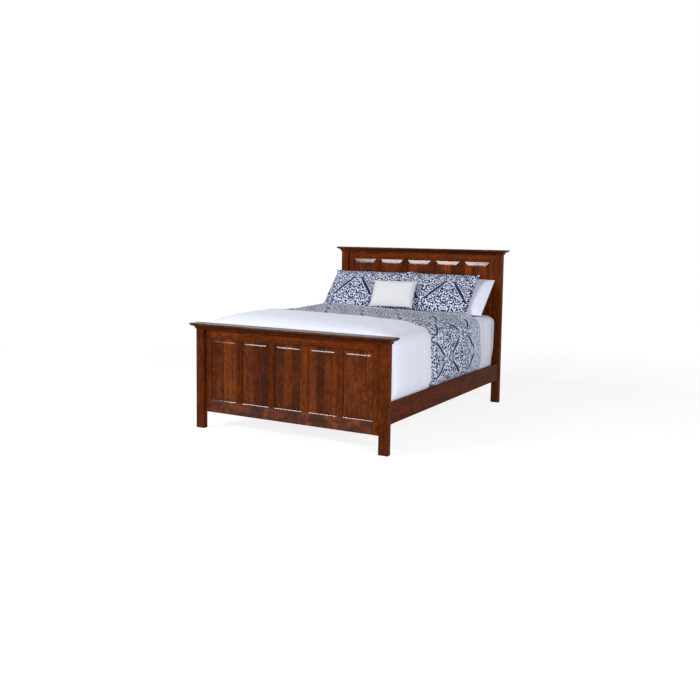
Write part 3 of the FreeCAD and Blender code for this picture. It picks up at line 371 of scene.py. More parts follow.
def scrollwork(cloth, look, paired):
    # spirals round scattered eyes, broken up by leaves
    eyes = cloth.add("TexVoronoi", {"feature": "F1"}, Vector=paired, Scale=1 / damask["scroll"],
                     Randomness=damask["scatter"])
    arm = cloth.add("VectorMath", {"operation": "SUBTRACT"})
    cloth.feed(arm.inputs[0], paired)
    cloth.feed(arm.inputs[1], eyes.outputs["Position"])
    across, up, _ = cloth.parts(arm.outputs[0])
    luck = cloth.parts(eyes.outputs["Color"])[0]
    turn = cloth.sum("MULTIPLY_ADD", cloth.sum("ARCTAN2", up, across), 2.0,
                     cloth.sum("MULTIPLY_ADD", eyes.outputs["Distance"], damask["turns"],
                               cloth.sum("MULTIPLY", luck, damask["anyTurn"])))
    leaves = cloth.sum("MULTIPLY", cloth.sum("SUBTRACT", cloth.grain(paired, 62.0, 1.0, 0.5, 1.0), 0.5),
                       2 * damask["leafy"])
    clumps = cloth.sum("MULTIPLY_ADD", cloth.sum("SUBTRACT", cloth.grain(paired, 21.0, 1.0), 0.5),
                       2 * damask["clumps"], look["ink"])
    scroll = cloth.sum("ADD", cloth.sum("ADD", cloth.sum("COSINE", turn), leaves), clumps)
    eye = cloth.fade(eyes.outputs["Distance"], 0.08, 0.12, 1.0, 0.0)
    return cloth.sum("MAXIMUM", cloth.fade(scroll, -0.12, 0.12), eye)


def damaskPrint(name, piece):
    look = prints[piece]
    cloth = Recipe(name, Sheen_Weight=0.05, Sheen_Roughness=0.5, Specular_IOR_Level=0.06)
    flat = cloth.cloth()
    u, v, _ = cloth.parts(flat)
    wide, tall = (look["ogee"] * side for side in damask["cell"])
    x = cloth.sum("DIVIDE", cloth.sum("SUBTRACT", u, look["start"][0]), wide)
    y = cloth.sum("DIVIDE", cloth.sum("SUBTRACT", v, look["start"][1]), tall)
    # leaves pair up on both sides of an ogee's middle
    mirror = cloth.sum("PINGPONG", x, 0.5)
    paired = cloth.join(cloth.sum("MULTIPLY", mirror, wide / look["size"]),
                        cloth.sum("DIVIDE", v, look["size"] * look["drawn"]))
    ragged = cloth.grain(paired, 100.0, 2.0, 0.5)
    gap = strokeGap(cloth, look, x, y, wide, ragged)
    stroke = cloth.fade(gap, 0.0, 0.002, 1.0, 0.0)
    halo = cloth.fade(gap, 0.002, 0.01, 1.0, 0.0)
    ink = cloth.sum("MULTIPLY", scrollwork(cloth, look, paired),
                    cloth.sum("SUBTRACT", 1.0, cloth.sum("MULTIPLY", halo, 0.85)))
    ink = cloth.sum("MULTIPLY", ink, cloth.fade(v, damask["paleFrom"], damask["paleFrom"] + 0.06,
                                                1.0, damask["paleTo"]))
    cloudy = cloth.fade(cloth.grain(flat, 30.0, 2.0), 0.4, 0.62)
    body = cloth.mix(cloth.sum("MULTIPLY", cloudy, damask["misty"]), damask["ground"], damask["mist"])
    body = cloth.mix(ink, body, damask["navy"])
    cloth.colour(cloth.mix(stroke, body, damask["navy"]))
    cloth.rough(cloth.fade(ragged, 0.3, 0.7, 0.82, 0.9))
    crease = cloth.grain(flat, 8.0, 4.0, 0.6, 0.6)
    cloth.relief((crease, 0.3, 0.008), (weaveHeight(cloth, flat, 0.0012), 0.3, 0.0003))
    return cloth.material


# the grooves between the ribs take a darker colour: painted shade
ribbed = {"pale": (0.76, 0.765, 0.79), "groove": (0.69, 0.69, 0.71), "rib": 0.0115}


def ivoryRib(name):
    rib = Recipe(name, Sheen_Weight=0.25, Sheen_Roughness=0.5, Specular_IOR_Level=0.25)
    flat = rib.cloth()
    across = rib.parts(flat)[0]
    wave = rib.sum("SINE", rib.sum("MULTIPLY", across, 2 * math.pi / ribbed["rib"]))
    ridge = rib.fade(wave, -1.0, 0.6)
    fuzz = rib.grain(flat, 520.0, 3.0, 0.6)
    # painted shade in the grooves between the ribs
    rib.colour(rib.mix(ridge, ribbed["groove"], ribbed["pale"]))
    rib.rough(rib.fade(fuzz, 0.3, 0.7, 0.82, 0.95))
    rib.relief((ridge, 0.4, 0.0008), (fuzz, 0.2, 0.0006))
    return rib.material


print("stage 2: finishes mixed")

# finishes for the parts that keep their CAD shape
frameFinish = {
    "post": cherryWood("cherryPost", 2, 0.88),
    "stile": cherryWood("cherryStile", 2, 1.06),
    "mullion": cherryWood("cherryMullion", 2, 1.0),
    # the top rails' brighter tone is partly the wood's own and partly painted light, standing in for sheen
    # and light on the headboard's rail
    "top_rail": cherryWood("cherryTopRail", 0, 1.35),
    "bottom_rail": cherryWood("cherryBottomRail", 0, 0.9, 0.6, lacquer=0.42),
    "crown": cherryWood("cherryCrown", 0, 0.72),
    "cap": cherryWood("cherryCap", 0, 0.62, lacquer=0.3),
    "side_rail": cherryWood("cherrySideRail", 1, 0.98, lacquer=0.02),
    "cleat": plainPoplar("poplarCleat", 1),
    "slat": plainPoplar("poplarSlat", 0),
    "centre_leg": plainPoplar("poplarLeg", 2),
    "leg_glide": blackNylon("glideNylon"),
    "plates": zincSteel("zincPlate"),
    "screws": zincSteel("zincScrew"),
}


def dressFrame():
    for name, piece in nodes.items():
        kinds = [kind for kind in frameFinish if kind in name]
        if not kinds:
            continue
        kind = max(kinds, key=len) if "slat_screws" not in name else "screws"
        piece.data.materials.clear()
        piece.data.materials.append(frameFinish[kind])


dressFrame()


def standIn(piece, node):
    # the piece takes a CAD node's place and moves with the frame
    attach(piece, "root")
    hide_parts(node)


# raised panels: distance in from the edge and depth behind the field, rear and edge first;
# the lip is the upper slope, where the lacquer lies thicker, from that step of the list on
panels = {
    "topSide": 2,        # sides run from the bottom round by the right
    "edge": [(0.010, 0.017), (0.010, 0.013), (0.0, 0.013), (0.0, 0.007), (0.009, 0.007)],
    "footboard": {
        "slope": [(0.0297, 0.0036), (0.0363, 0.0012), (0.0377, 0.0006), (0.0391, 0.0002), (0.0405, 0.0)],
        "wood": cherryWood("cherryFootPanel", 2, 0.95, 0.2, 0.031, 0.16),
        "lip": cherryWood("cherryFootLip", 2, 0.95, 0.2, 0.031, 0.22, 0.14),
        "lipFrom": 5,
    },
    "headboard": {
        "slope": [(0.0375, 0.0023), (0.0408, 0.0003), (0.0425, 0.0)],
        # the headboard's panels are the same cherry painted brighter than the footboard's, 1.25 against 0.95:
        # painted light standing in for more light falling on the headboard
        "wood": cherryWood("cherryHeadPanelPaintedLight", 2, 1.25, 0.2, 7.21, 0.16),
        "lip": cherryWood("cherryHeadLipPaintedLight", 2, 1.25, 0.2, 7.21, 0.34, 0.15),
        "lipFrom": 4,
    },
}


def makePanels():
    for name in [name for name in nodes if "_panel_" in name]:
        low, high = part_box(name)
        board = panels[name.split("_")[0]]
        points = []
        for inset, depth in panels["edge"] + board["slope"]:
            x1, x2, z1, z2 = low.x + inset, high.x - inset, low.z + inset, high.z - inset
            points += [(x, low.y + depth, z) for x, z in ((x1, z1), (x2, z1), (x2, z2), (x1, z2))]
        faces = [(3, 2, 1, 0)]
        for ring in range(0, len(points) - 4, 4):
            faces += [(ring + side, ring + (side + 1) % 4, ring + 4 + (side + 1) % 4, ring + 4 + side)
                      for side in range(4)]
        faces.append(tuple(range(len(points) - 4, len(points))))
        mesh = bpy.data.meshes.new(name)
        mesh.from_pydata(points, [], faces)
        mesh.materials.append(board["wood"])
        mesh.materials.append(board["lip"])
        for face in mesh.polygons[1:-1]:
            ring, side = divmod(face.index - 1, 4)
            face.material_index = int(side == panels["topSide"] and ring >= board["lipFrom"])
        piece = bpy.data.objects.new(name + "_wood", mesh)
        bpy.context.scene.collection.objects.link(piece)
        standIn(piece, name)


makePanels()
print("stage 3: timber and hardware finished")


# cloth and cushions

def smoothMesh(name, points, faces, flats, finish):
    # flats are the points' places on the cloth laid flat, in metres
    mesh = bpy.data.meshes.new(name)
    mesh.from_pydata([tuple(point) for point in points], [], faces)
    layer = mesh.uv_layers.new(name="cloth")
    corners = np.zeros(len(mesh.loops), dtype=np.int64)
    mesh.loops.foreach_get("vertex_index", corners)
    layer.data.foreach_set("uv", np.asarray(flats, dtype=np.float32)[corners].ravel())
    mesh.polygons.foreach_set("use_smooth", [True] * len(mesh.polygons))
    mesh.materials.append(finish)
    piece = bpy.data.objects.new(name, mesh)
    bpy.context.scene.collection.objects.link(piece)
    return piece


def gridFaces(rows, columns):
    return [(row * columns + column, row * columns + column + 1,
             (row + 1) * columns + column + 1, (row + 1) * columns + column)
            for row in range(rows - 1) for column in range(columns - 1)]


def softly(x, y, z=0.0):
    return noise.noise(Vector((x, y, z)))


def curveThrough(keys, values, at):
    # smooth curve through measured stations, without overshoot at the ends
    keys, values = np.asarray(keys, float), np.asarray(values, float)
    slopes = np.gradient(values, keys, axis=0)
    index = np.clip(np.searchsorted(keys, at) - 1, 0, len(keys) - 2)
    span = keys[index + 1] - keys[index]
    t = ((at - keys[index]) / span)[:, None]
    first, second = values[index], values[index + 1]
    a, b = slopes[index] * span[:, None], slopes[index + 1] * span[:, None]
    return ((2 * t ** 3 - 3 * t ** 2 + 1) * first + (t ** 3 - 2 * t ** 2 + t) * a
            + (3 * t ** 2 - 2 * t ** 3) * second + (t ** 3 - t ** 2) * b)


# the covers' shape: station along the bed, height at the left, middle and right of the crown,
# how far the sides swell, and how far the shoulders have come down
covers = {
    "stations": [
        (-1.020, 0.700, 0.702, 0.700, -0.052, 0.3),
        (-1.013, 0.757, 0.759, 0.757, -0.031, 0.33),
        (-0.998, 0.792, 0.794, 0.790, -0.013, 0.4),
        (-0.965, 0.817, 0.814, 0.809, -0.002, 0.6),
        (-0.890, 0.840, 0.835, 0.822, 0.002, 0.9),
        (-0.740, 0.849, 0.843, 0.827, -0.001, 1.0),
        (-0.423, 0.848, 0.842, 0.826, 0.0, 1.0),
        (-0.200, 0.839, 0.837, 0.824, 0.003, 1.0),
        (0.060, 0.840, 0.833, 0.821, -0.003, 1.0),
        (0.300, 0.848, 0.828, 0.819, 0.002, 1.0),
        (0.490, 0.845, 0.820, 0.816, -0.002, 1.0),
        (0.575, 0.837, 0.814, 0.812, -0.004, 0.8),
        (0.612, 0.826, 0.809, 0.808, -0.006, 0.4),
    ],
    # a side from the crown's end down: out from the bed's middle, share of the swell, way down,
    # and what the shoulder's fall adds to that
    "side": [(0.560, 0, 0, 0), (0.628, 0.3, 0, 0.013), (0.690, 0.5, 0, 0.034), (0.754, 0.8, 0.040, 0.014),
             (0.788, 1, 0.136, 0)],
    # and on behind the rail: out from the middle, share of the swell, height
    "low": [(0.800, 1, 0.470), (0.794, 0.6, 0.400), (0.774, 0.15, 0.358)],
    "tuck": 0.763,       # the tucked hem's place, and its heights
    "tuckHeights": (0.3475, 0.325, 0.302),
    "fold": 0.004,       # depth of the sides' folds
    "foldsUnder": (0.74, 0.2),    # height at which they begin, and over what run they deepen
    "foldsOver": (0.36, 0.05),    # the same from the rail up
    "puff": 0.0035,      # depth of the top's soft swellings
    "puffsOver": (0.72, 0.05),
    "luck": 2.0,         # where the folds fall
    "bunch": 1.25,       # rows crowd towards the foot, where the cloth turns down
    "columns": 190,
    # from where to where, how far over the comforter's own shape, cloth's thickness and thicker hem
    "comforter": {"start": -1.019, "end": 0.611, "grow": 0.0, "rows": 150, "thick": 0.008, "hem": 0.0,
                  "slot": "damask_cotton"},
    "coverlet": {"start": -1.02, "end": -0.423, "grow": 0.006, "rows": 110, "thick": 0.004, "hem": 0.0015,
                 "slot": "white_matelasse"},
}


def bend(first, middle, last, count=9):
    # points on the circle through three spots
    (ax, ay), (bx, by), (cx, cy) = first, middle, last
    d = 2 * (ax * (by - cy) + bx * (cy - ay) + cx * (ay - by))
    a, b, c = (x * x + y * y for x, y in (first, middle, last))
    ux = (a * (by - cy) + b * (cy - ay) + c * (ay - by)) / d
    uy = (a * (cx - bx) + b * (ax - cx) + c * (bx - ax)) / d
    radius = math.hypot(ax - ux, ay - uy)
    start, end = math.atan2(ay - uy, ax - ux), math.atan2(cy - uy, cx - ux)
    via = math.atan2(by - uy, bx - ux)
    sweep = (end - start) % (2 * math.pi)
    if (via - start) % (2 * math.pi) > sweep:
        sweep -= 2 * math.pi
    return [(ux + radius * math.cos(start + sweep * step / count),
             uy + radius * math.sin(start + sweep * step / count)) for step in range(count + 1)]


def sideProfile(top, swell, fall, grow):
    # from the crown's end out over the shoulder and down behind the side rail; the upper cover's
    # room is above on the crown and outside below the shoulder
    def spot(out, share, drop, own):
        return (out + grow * min(1, drop / 0.05) + share * swell,
                top - drop - own * fall + grow * max(0, 1 - drop / 0.1))

    crown, brow, shoulder, turn, sideTop = (spot(*place) for place in covers["side"])
    sideLow, swag, rim = ((out + grow + share * swell, height) for out, share, height in covers["low"])
    tuck = covers["tuck"] + 0.6 * grow
    path = bend(crown, brow, shoulder) + bend(shoulder, turn, sideTop, 14)[1:]
    path += [(sideTop[0] + (sideLow[0] - sideTop[0]) * t, sideTop[1] + (sideLow[1] - sideTop[1]) * t)
             for t in (0.25, 0.5, 0.75)]
    return path + bend(sideLow, swag, rim) + [(tuck, height) for height in covers["tuckHeights"]]


def acrossSection(values, grow, columns):
    left, middle, right, swell, fall = values
    rightSide = sideProfile(right, swell, fall, grow)
    leftSide = [(-x, z) for x, z in sideProfile(left, swell, fall, grow)][::-1]
    crown = bend(leftSide[-1], (0.0, middle + grow), rightSide[0], 24)[1:-1]
    points = np.array(leftSide + crown + rightSide)
    run = np.r_[0, np.cumsum(np.hypot(*np.diff(points, axis=0).T))]
    where = np.linspace(0, run[-1], columns)
    return np.c_[np.interp(where, run, points[:, 0]), np.interp(where, run, points[:, 1])], run[-1]


def ramp(value, low, span):
    return max(0.0, min(1.0, (value - low) / span))


def coverSheet(cover):
    stations = np.array(covers["stations"])
    start, end, columns, luck = cover["start"], cover["end"], covers["columns"], covers["luck"]
    along = start + (end - start) * np.linspace(0, 1, cover["rows"]) ** covers["bunch"]
    values = curveThrough(stations[:, 0], stations[:, 1:], along)
    points, flats, run = [], [], 0.0
    for row, y in enumerate(along):
        section, girth = acrossSection(values[row], cover["grow"], columns)
        if row:
            run += math.hypot(y - along[row - 1], values[row][1] - values[row - 1][1])
        hem = cover["hem"] * math.exp(-((end - y) / 0.012) ** 2)
        for column, (x, z) in enumerate(section):
            s = column / (columns - 1) - 0.5
            # the sides fold below the shoulder and lie flat behind the rail; the crown swells
            under, deepens = covers["foldsUnder"]
            hangs = ramp(under - z, 0.0, deepens) * ramp(z, *covers["foldsOver"])
            fold = covers["fold"] * softly(y * 9.0, s * 2.0, luck) * hangs
            swell = 0.35 + softly(x * 5.0, y * 6.0, luck + 3.0) + 0.5 * softly(x * 13.0, y * 11.0, luck + 7.0)
            lift = covers["puff"] * swell * ramp(z, *covers["puffsOver"]) + hem
            points.append((x + (fold if x > 0 else -fold), y, z + lift))
            flats.append((s * girth, run))
    return points, flats


def layCover(node, finish):
    cover = covers[node]
    points, flats = coverSheet(cover)
    piece = smoothMesh(node + "_cloth", points, gridFaces(cover["rows"], covers["columns"]), flats, finish)
    thickness = piece.modifiers.new("thickness", "SOLIDIFY")
    thickness.thickness = cover["thick"]
    thickness.offset = -1
    standIn(piece, node)
    return piece


comforterCloth = layCover("comforter", damaskPrint("comforterDamask", "comforter"))
coverletCloth = layCover("coverlet", whiteMatelasse("coverletMatelasse"))
print("stage 4: covers laid")


# the mattress, the foundation under it and the sheet that hides both
bedding = {
    "edge": 0.055,       # rounding of the mattress's rims
    "corner": 0.07,      # and of its corners, seen from above
    "sheetOver": 0.002,  # how much wider the sheet turns
    "spacing": 0.03,     # between the cloth's points along a straight side
    "lowEdge": 0.02,     # rounding of the mattress's lower rims
    # the sheet's hanging folds: depth, how close and how narrow they are, how much they wander on
    # the way down, how soon they end over the rims, and from which height and over what run they deepen
    "ripple": {"depth": 0.013, "close": 9.0, "narrow": 3, "wander": 0.9, "rims": 40, "over": (0.405, 0.06)},
    # height and inset of the hem behind the rail, then how far up the sheet swells out
    "hem": [(0.315, 0.0065), (0.334, 0.0065), (0.352, 0.0062)],
    "swellsOver": 0.148,
    # the mattress's foot and the height from which the sheet follows its rims
    "rims": (0.47, 0.505),
    "foundation": {"edge": 0.006, "corner": 0.06},
}


def roundedRing(halfWide, halfLong, corner, count=7):
    ring = []
    for quarter, (sx, sy) in enumerate(((1, 1), (-1, 1), (-1, -1), (1, -1))):
        for step in range(count):
            angle = math.pi / 2 * (quarter + step / (count - 1))
            ring.append((sx * (halfWide - corner) + corner * math.cos(angle),
                         sy * (halfLong - corner) + corner * math.sin(angle)))
    # straight runs are divided as well, so that the cloth can ripple
    full = []
    for index, (x, y) in enumerate(ring):
        nextX, nextY = ring[(index + 1) % len(ring)]
        far = math.hypot(nextX - x, nextY - y)
        parts = max(1, round(far / bedding["spacing"]))
        full += [(x + (nextX - x) * part / parts, y + (nextY - y) * part / parts) for part in range(parts)]
    return full


def closeRing(points, flats, ring, middle, up):
    # fills a ring of points with narrower rings; up tells which way the faces look
    faces, inner = [], ring
    count = len(ring)
    for share in (0.8, 0.55, 0.3, 0.1):
        nextRing = []
        for index in ring:
            x, y, z = points[index]
            nextRing.append(len(points))
            points.append((middle[0] + (x - middle[0]) * share, middle[1] + (y - middle[1]) * share, z))
            flats.append(((x - middle[0]) * share, (y - middle[1]) * share))
        faces += [(inner[i], inner[(i + 1) % count], nextRing[(i + 1) % count], nextRing[i])
                  for i in range(count)]
        inner = nextRing
    faces.append(tuple(inner))
    return faces if up else [tuple(reversed(face)) for face in faces]


def blockSheet(name, box, corner, levels, finish, ripple=0.0, closeLow=False):
    # levels are (height, inset) from the bottom up
    low, high = box
    folds = bedding["ripple"]
    middle = (low.x + high.x) / 2, (low.y + high.y) / 2
    halfWide, halfLong = (high.x - low.x) / 2, (high.y - low.y) / 2
    points, flats, rings, lengths = [], [], [], [0.0]
    base = roundedRing(halfWide, halfLong, corner)
    count = len(base)
    for (x, y), (nextX, nextY) in zip(base, base[1:]):
        lengths.append(lengths[-1] + math.hypot(nextX - x, nextY - y))
    for height, inset in levels:
        shrinkX, shrinkY = (halfWide - inset) / halfWide, (halfLong - inset) / halfLong
        ring = []
        for (x, y), run in zip(base, lengths):
            wander = softly(run * folds["close"], height * folds["wander"], 5.0)
            wave = max(0.0, 1 - folds["narrow"] * abs(wander))
            wave *= ripple * max(0.0, 1 - inset * folds["rims"]) * ramp(height, *folds["over"])
            swell = 1 + wave / math.hypot(x, y)
            ring.append(len(points))
            points.append((middle[0] + x * shrinkX * swell, middle[1] + y * shrinkY * swell, height))
            flats.append((run, height))
        rings.append(ring)
    faces = []
    for lower, upper in zip(rings, rings[1:]):
        faces += [(lower[i], lower[(i + 1) % count], upper[(i + 1) % count], upper[i]) for i in range(count)]
    faces += closeRing(points, flats, rings[-1], middle, True)
    if closeLow:
        faces += closeRing(points, flats, rings[0], middle, False)
    return smoothMesh(name, points, faces, flats, finish)


def rimLevels(bottom, top, edge, lowEdge):
    levels = [(bottom, lowEdge), (bottom + lowEdge * 0.3, lowEdge * 0.3), (bottom + lowEdge, 0.0)]
    for step in range(1, 8):
        levels.append((bottom + lowEdge + (top - edge - bottom - lowEdge) * step / 8, 0.0))
    for step in range(0, 9):
        turn = math.pi / 2 * step / 8
        levels.append((top - edge * (1 - math.sin(turn)), edge * (1 - math.cos(turn))))
    return levels


def makeBedding():
    low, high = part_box("mattress")
    mattress = blockSheet("mattress_core", (low, high), bedding["corner"],
                          rimLevels(low.z, high.z, bedding["edge"], bedding["lowEdge"]),
                          plainCotton("mattressTicking", "ticking"), closeLow=True)
    standIn(mattress, "mattress")
    low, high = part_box("bottom_sheet")
    over, hem, steps = bedding["sheetOver"], bedding["hem"], 6
    levels = hem + [(hem[-1][0] + bedding["swellsOver"] * step / steps, hem[0][1] * (1 - step / steps))
                    for step in range(1, steps + 1)]
    foot, follows = bedding["rims"]
    rims = rimLevels(foot, high.z, bedding["edge"] + over, bedding["lowEdge"])
    levels += [level for level in rims if level[0] > follows]
    sheet = blockSheet("bottom_sheet_cloth", (low, high), bedding["corner"] + over, levels,
                       plainCotton("sheetCotton", "sheetWhite"), ripple=bedding["ripple"]["depth"])
    standIn(sheet, "bottom_sheet")
    low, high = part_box("foundation")
    edge = bedding["foundation"]["edge"]
    base = blockSheet("foundation_cloth", (low, high), bedding["foundation"]["corner"],
                      rimLevels(low.z, high.z, edge, edge),
                      plainCotton("foundationTicking", "ticking"), closeLow=True)
    standIn(base, "foundation")
    return mattress, sheet, base


mattressCore, sheetCloth, foundationCloth = makeBedding()
print("stage 5: mattress, foundation and sheet made")


# width and height, front and rear fullness, draw of the sides, place of the lower edge's middle,
# lean from upright and turn, both in degrees; pressed is the side that meets the next pillow
pillows = {
    "left_pillow": {"size": (0.700, 0.440), "full": (0.027, 0.058), "draw": 0.016,
                    "foot": (-0.400, 0.722, 0.784), "lean": 48, "turn": 0},
    "right_pillow": {"size": (0.706, 0.440), "full": (0.040, 0.058), "draw": -0.006,
                     "foot": (0.395, 0.722, 0.784), "lean": 48, "turn": 0},
    "left_sham": {"size": (0.785, 0.464), "full": (0.066, 0.022), "draw": 0.022,
                  "foot": (-0.4085, 0.656, 0.783), "lean": 42, "turn": 0, "pressed": 1},
    "right_sham": {"size": (0.665, 0.464), "full": (0.066, 0.022), "draw": 0.022,
                   "foot": (0.3225, 0.656, 0.783), "lean": 42, "turn": 0, "pressed": -1},
    "lumbar_pillow": {"size": (0.418, 0.290), "full": (0.046, 0.030), "draw": 0.010,
                      "foot": (-0.026, 0.552, 0.8205), "lean": 33, "turn": 8},
}
pillowCloth = {
    "mesh": (56, 38),        # squares across and up
    "smallMesh": (40, 30),   # the same for a pillow narrower than half a metre
    "seam": 0.004,           # taken off each side by the seam
    "pressedOut": 0.0065,    # how far a pressed side comes out to its neighbour
    "square": (2.6, 2.4),    # how full the corners are, across and up
    "dome": 0.52,            # how soon a face swells behind the seam
    "pucker": 0.0022,        # depth of the gathers at the seams
    # how far they reach in, as a share of half the pillow, and how close they are
    "gathers": {"sides": (0.2, 26.0), "ends": (0.28, 24.0)},
    "lumps": 0.003,          # depth of the filling's lumps
    "frames": 20,            # length of the pressure run
    "travel": 0.007,         # the most that the run may move the cloth
    "settings": {"quality": 6, "mass": 0.25, "tension_stiffness": 12, "compression_stiffness": 12,
                 "shear_stiffness": 4, "bending_stiffness": 0.15, "use_pressure": True,
                 "uniform_pressure_force": 3.0, "shrink_min": -0.015},
}


def pillowMesh(name, seed):
    look = pillows[name]
    wide, tall = look["size"]
    draw = 0.8 * look["draw"]
    columns, rows = pillowCloth["mesh"] if wide > 0.5 else pillowCloth["smallMesh"]
    halfWide, halfTall = wide / 2 - pillowCloth["seam"], tall / 2 - pillowCloth["seam"]
    turn, lean = math.radians(look["turn"]), math.radians(look["lean"])
    tilt = Matrix.Rotation(turn, 4, "Z") @ Matrix.Rotation(-lean, 4, "X")
    middle = Vector(look["foot"]) + tilt @ Vector((0, 0, tall / 2))
    squareU, squareV = pillowCloth["square"]
    sides, ends = pillowCloth["gathers"]["sides"], pillowCloth["gathers"]["ends"]
    points, flats, index = [], [], {}
    for side, full in zip((-1, 1), look["full"]):
        for row in range(rows + 1):
            for column in range(columns + 1):
                u, v = 2 * column / columns - 1, 2 * row / rows - 1
                # rows and columns crowd towards the seam, where the cloth curves most
                u, v = math.sin(u * math.pi / 2), math.sin(v * math.pi / 2)
                rim = max(abs(u), abs(v)) > 0.9999
                key = (row, column) if rim else (side, row, column)
                if key in index:
                    continue
                drawn = -pillowCloth["pressedOut"] if look.get("pressed", 0) * u > 0 else draw
                x = u * (halfWide - drawn * (1 - v ** 6 if drawn > 0 else 1))
                z = v * (halfTall - draw * (1 - u ** 6))
                body = (1 - abs(u) ** squareU) * (1 - abs(v) ** squareV)
                depth = full * body ** pillowCloth["dome"] if body > 0 else 0.0
                gather = math.exp(-(((1 - abs(u)) / sides[0]) ** 2)) * softly(z * sides[1], seed)
                gather += math.exp(-(((1 - abs(v)) / ends[0]) ** 2)) * softly(x * ends[1], seed + 9.0)
                depth += pillowCloth["pucker"] * gather * (0 if rim else 1) * min(1.0, body * 6)
                depth += pillowCloth["lumps"] * softly(x * 5.0, z * 5.0, seed + side) * min(1.0, body * 3)
                index[key] = len(points)
                points.append(middle + tilt @ Vector((x, side * max(depth, 0.0), z)))
                flats.append((x, z))
    faces = []
    for side in (-1, 1):
        for row in range(rows):
            for column in range(columns):
                corners = ((row, column), (row, column + 1), (row + 1, column + 1), (row + 1, column))
                face = tuple(index.get(spot, index.get((side, *spot))) for spot in corners)
                faces.append(face if side < 0 else face[::-1])
    return points, faces, flats


def plump(piece, side):
    # a short pressure run gives the seams their natural gathers; the side pressed on a neighbour stays put
    start = np.array([vertex.co[:] for vertex in piece.data.vertices])
    across = (start[:, 0] - start[:, 0].mean()) * side
    cloth = piece.modifiers.new("plump", "CLOTH")
    for setting, value in pillowCloth["settings"].items():
        setattr(cloth.settings, setting, value)
    cloth.settings.effector_weights.gravity = 0
    cloth.collision_settings.use_collision = False
    cloth.point_cache.frame_start, cloth.point_cache.frame_end = 1, pillowCloth["frames"]
    scene = bpy.context.scene
    for step in range(pillowCloth["frames"]):
        scene.frame_set(step + 1)
    graph = bpy.context.evaluated_depsgraph_get()
    shaped = piece.evaluated_get(graph).to_mesh()
    moved = np.array([vertex.co[:] for vertex in shaped.vertices])
    piece.evaluated_get(graph).to_mesh_clear()
    piece.modifiers.remove(cloth)
    step = moved - start
    far = np.linalg.norm(step, axis=1)
    step *= np.minimum(1, pillowCloth["travel"] / np.maximum(far, 1e-9))[:, None]
    step[:, 0] *= 1 - np.clip(across / 0.1, 0, 1)
    piece.data.vertices.foreach_set("co", (start + step).astype(np.float32).ravel())
    piece.data.update()
    scene.frame_set(1)


# material, slot and how full a pillow is
pillowFinish = {
    "left_pillow": (plainCotton("pillowCotton", "pillowWhite"), "pillow_cotton", 0.7),
    "left_sham": (damaskPrint("leftShamDamask", "left_sham"), "damask_sham", 0.75),
    "right_sham": (damaskPrint("rightShamDamask", "right_sham"), "damask_sham", 0.75),
    "lumbar_pillow": (ivoryRib("lumbarRib"), "ivory_rib", 0.7),
}
pillowFinish["right_pillow"] = pillowFinish["left_pillow"]


def makePillows():
    for number, name in enumerate(pillows):
        finish, slot, fill = pillowFinish[name]
        points, faces, flats = pillowMesh(name, 11.0 * number + 4.0)
        piece = smoothMesh(name + "_cloth", points, faces, flats, finish)
        plump(piece, pillows[name].get("pressed", 0))
        rounder = piece.modifiers.new("rounder", "SUBSURF")
        rounder.levels = rounder.render_levels = 1
        standIn(piece, name)


makePillows()
print("stage 6: pillows plumped")


# room and light
room = {
    "floor": (0.8, 0.8, 0.8),
    "glow": 0.82,            # how much of the floor's white, seen by the camera, needs no light
    "shade": (0.3, 0.3, 0.3),    # the floor's own part of that white, which shows the shadow
    "whitens": (2.2, 5.5),   # distances between which the floor turns into the backdrop
    "reach": 20,             # half the floor's side
    "below": 0.0005,         # the floor lies this much under the posts
    "worldStrength": 0.24,
    "lamps": [
        # name, place, width and height, power, aimed at
        ("windowLight", (-3.1, -5.6, 3.26), (2.5, 0.25), 215, (-3.1, 1.0, 1.2)),
        ("fillLight", (5.2, -4.6, 2.2), (2.6, 2.0), 260, (0, 0, 0.5)),
        ("highLight", (-2.55, -2.12, 4.3), (2.3, 0.2), 68, (-2.55, -1.1, 0.2)),
    ],
}


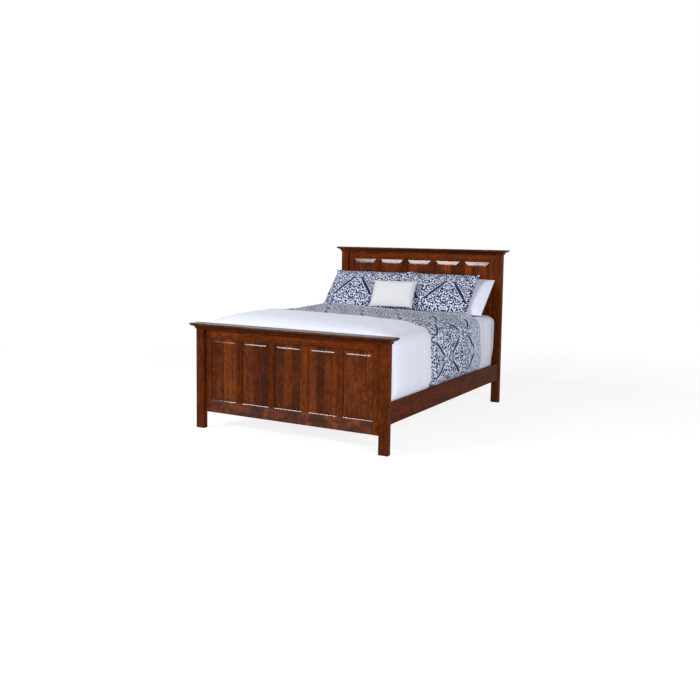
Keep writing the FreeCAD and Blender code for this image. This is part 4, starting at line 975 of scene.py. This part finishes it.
def floorFinish(name):
    # an ordinary pale floor for the light; the camera and mirrors see it near white, with its shadow
    material = bpy.data.materials.new(name)
    material.use_nodes = True
    tree = material.node_tree
    plain = tree.nodes["Principled BSDF"]
    plain.inputs["Base Color"].default_value = (*room["floor"], 1)
    plain.inputs["Roughness"].default_value = 0.9
    shade = tree.nodes.new("ShaderNodeBsdfDiffuse")
    shade.inputs["Color"].default_value = (*room["shade"], 1)
    glow = tree.nodes.new("ShaderNodeEmission")
    glow.inputs["Strength"].default_value = room["glow"]
    shown = tree.nodes.new("ShaderNodeAddShader")
    tree.links.new(shade.outputs[0], shown.inputs[0])
    tree.links.new(glow.outputs[0], shown.inputs[1])
    white = tree.nodes.new("ShaderNodeEmission")
    place = tree.nodes.new("ShaderNodeTexCoord")
    far = tree.nodes.new("ShaderNodeVectorMath")
    far.operation = "LENGTH"
    tree.links.new(place.outputs["Object"], far.inputs[0])
    fade = tree.nodes.new("ShaderNodeMapRange")
    fade.interpolation_type = "SMOOTHSTEP"
    fade.inputs[1].default_value, fade.inputs[2].default_value = room["whitens"]
    tree.links.new(far.outputs["Value"], fade.inputs[0])
    seen = tree.nodes.new("ShaderNodeMixShader")
    tree.links.new(fade.outputs[0], seen.inputs[0])
    tree.links.new(shown.outputs[0], seen.inputs[1])
    tree.links.new(white.outputs[0], seen.inputs[2])
    choose = tree.nodes.new("ShaderNodeMixShader")
    tree.links.new(whiteRays(tree), choose.inputs[0])
    tree.links.new(plain.outputs[0], choose.inputs[1])
    tree.links.new(seen.outputs[0], choose.inputs[2])
    tree.links.new(choose.outputs[0], tree.nodes["Material Output"].inputs[0])
    return material


def whiteRays(tree):
    # 1 for the rays that see the white backdrop: from the camera, in mirrors and through glass
    path = tree.nodes.new("ShaderNodeLightPath")
    total = path.outputs["Is Camera Ray"]
    for kind in ("Is Glossy Ray", "Is Transmission Ray"):
        either = tree.nodes.new("ShaderNodeMath")
        either.operation = "MAXIMUM"
        tree.links.new(total, either.inputs[0])
        tree.links.new(path.outputs[kind], either.inputs[1])
        total = either.outputs[0]
    return total


def buildRoom():
    mesh = bpy.data.meshes.new("floor")
    far = room["reach"]
    mesh.from_pydata([(-far, -far, 0), (far, -far, 0), (far, far, 0), (-far, far, 0)], [], [(0, 1, 2, 3)])
    floor = bpy.data.objects.new("floor", mesh)
    bpy.context.scene.collection.objects.link(floor)
    floor.location.z = -room["below"]
    mesh.materials.append(floorFinish("paleFloor"))
    world = bpy.data.worlds.new("studio")
    bpy.context.scene.world = world
    world.use_nodes = True
    tree = world.node_tree
    lit = tree.nodes["Background"]
    lit.inputs["Color"].default_value = (1.0, 1.0, 1.0, 1)
    lit.inputs["Strength"].default_value = room["worldStrength"]
    white = tree.nodes.new("ShaderNodeBackground")
    white.inputs["Color"].default_value = (1.0, 1.0, 1.0, 1)
    choose = tree.nodes.new("ShaderNodeMixShader")
    tree.links.new(whiteRays(tree), choose.inputs[0])
    tree.links.new(lit.outputs[0], choose.inputs[1])
    tree.links.new(white.outputs[0], choose.inputs[2])
    tree.links.new(choose.outputs[0], tree.nodes["World Output"].inputs[0])
    for name, place, size, power, target in room["lamps"]:
        lamp = bpy.data.lights.new(name, "AREA")
        lamp.shape = "RECTANGLE"
        lamp.size, lamp.size_y = size
        lamp.energy = power
        holder = bpy.data.objects.new(name, lamp)
        holder.location = place
        holder.rotation_euler = (Vector(target) - Vector(place)).to_track_quat("-Z", "Y").to_euler()
        bpy.context.scene.collection.objects.link(holder)


buildRoom()
bpy.context.scene.view_settings.view_transform = "Standard"
print("stage 7: floor and lights set")
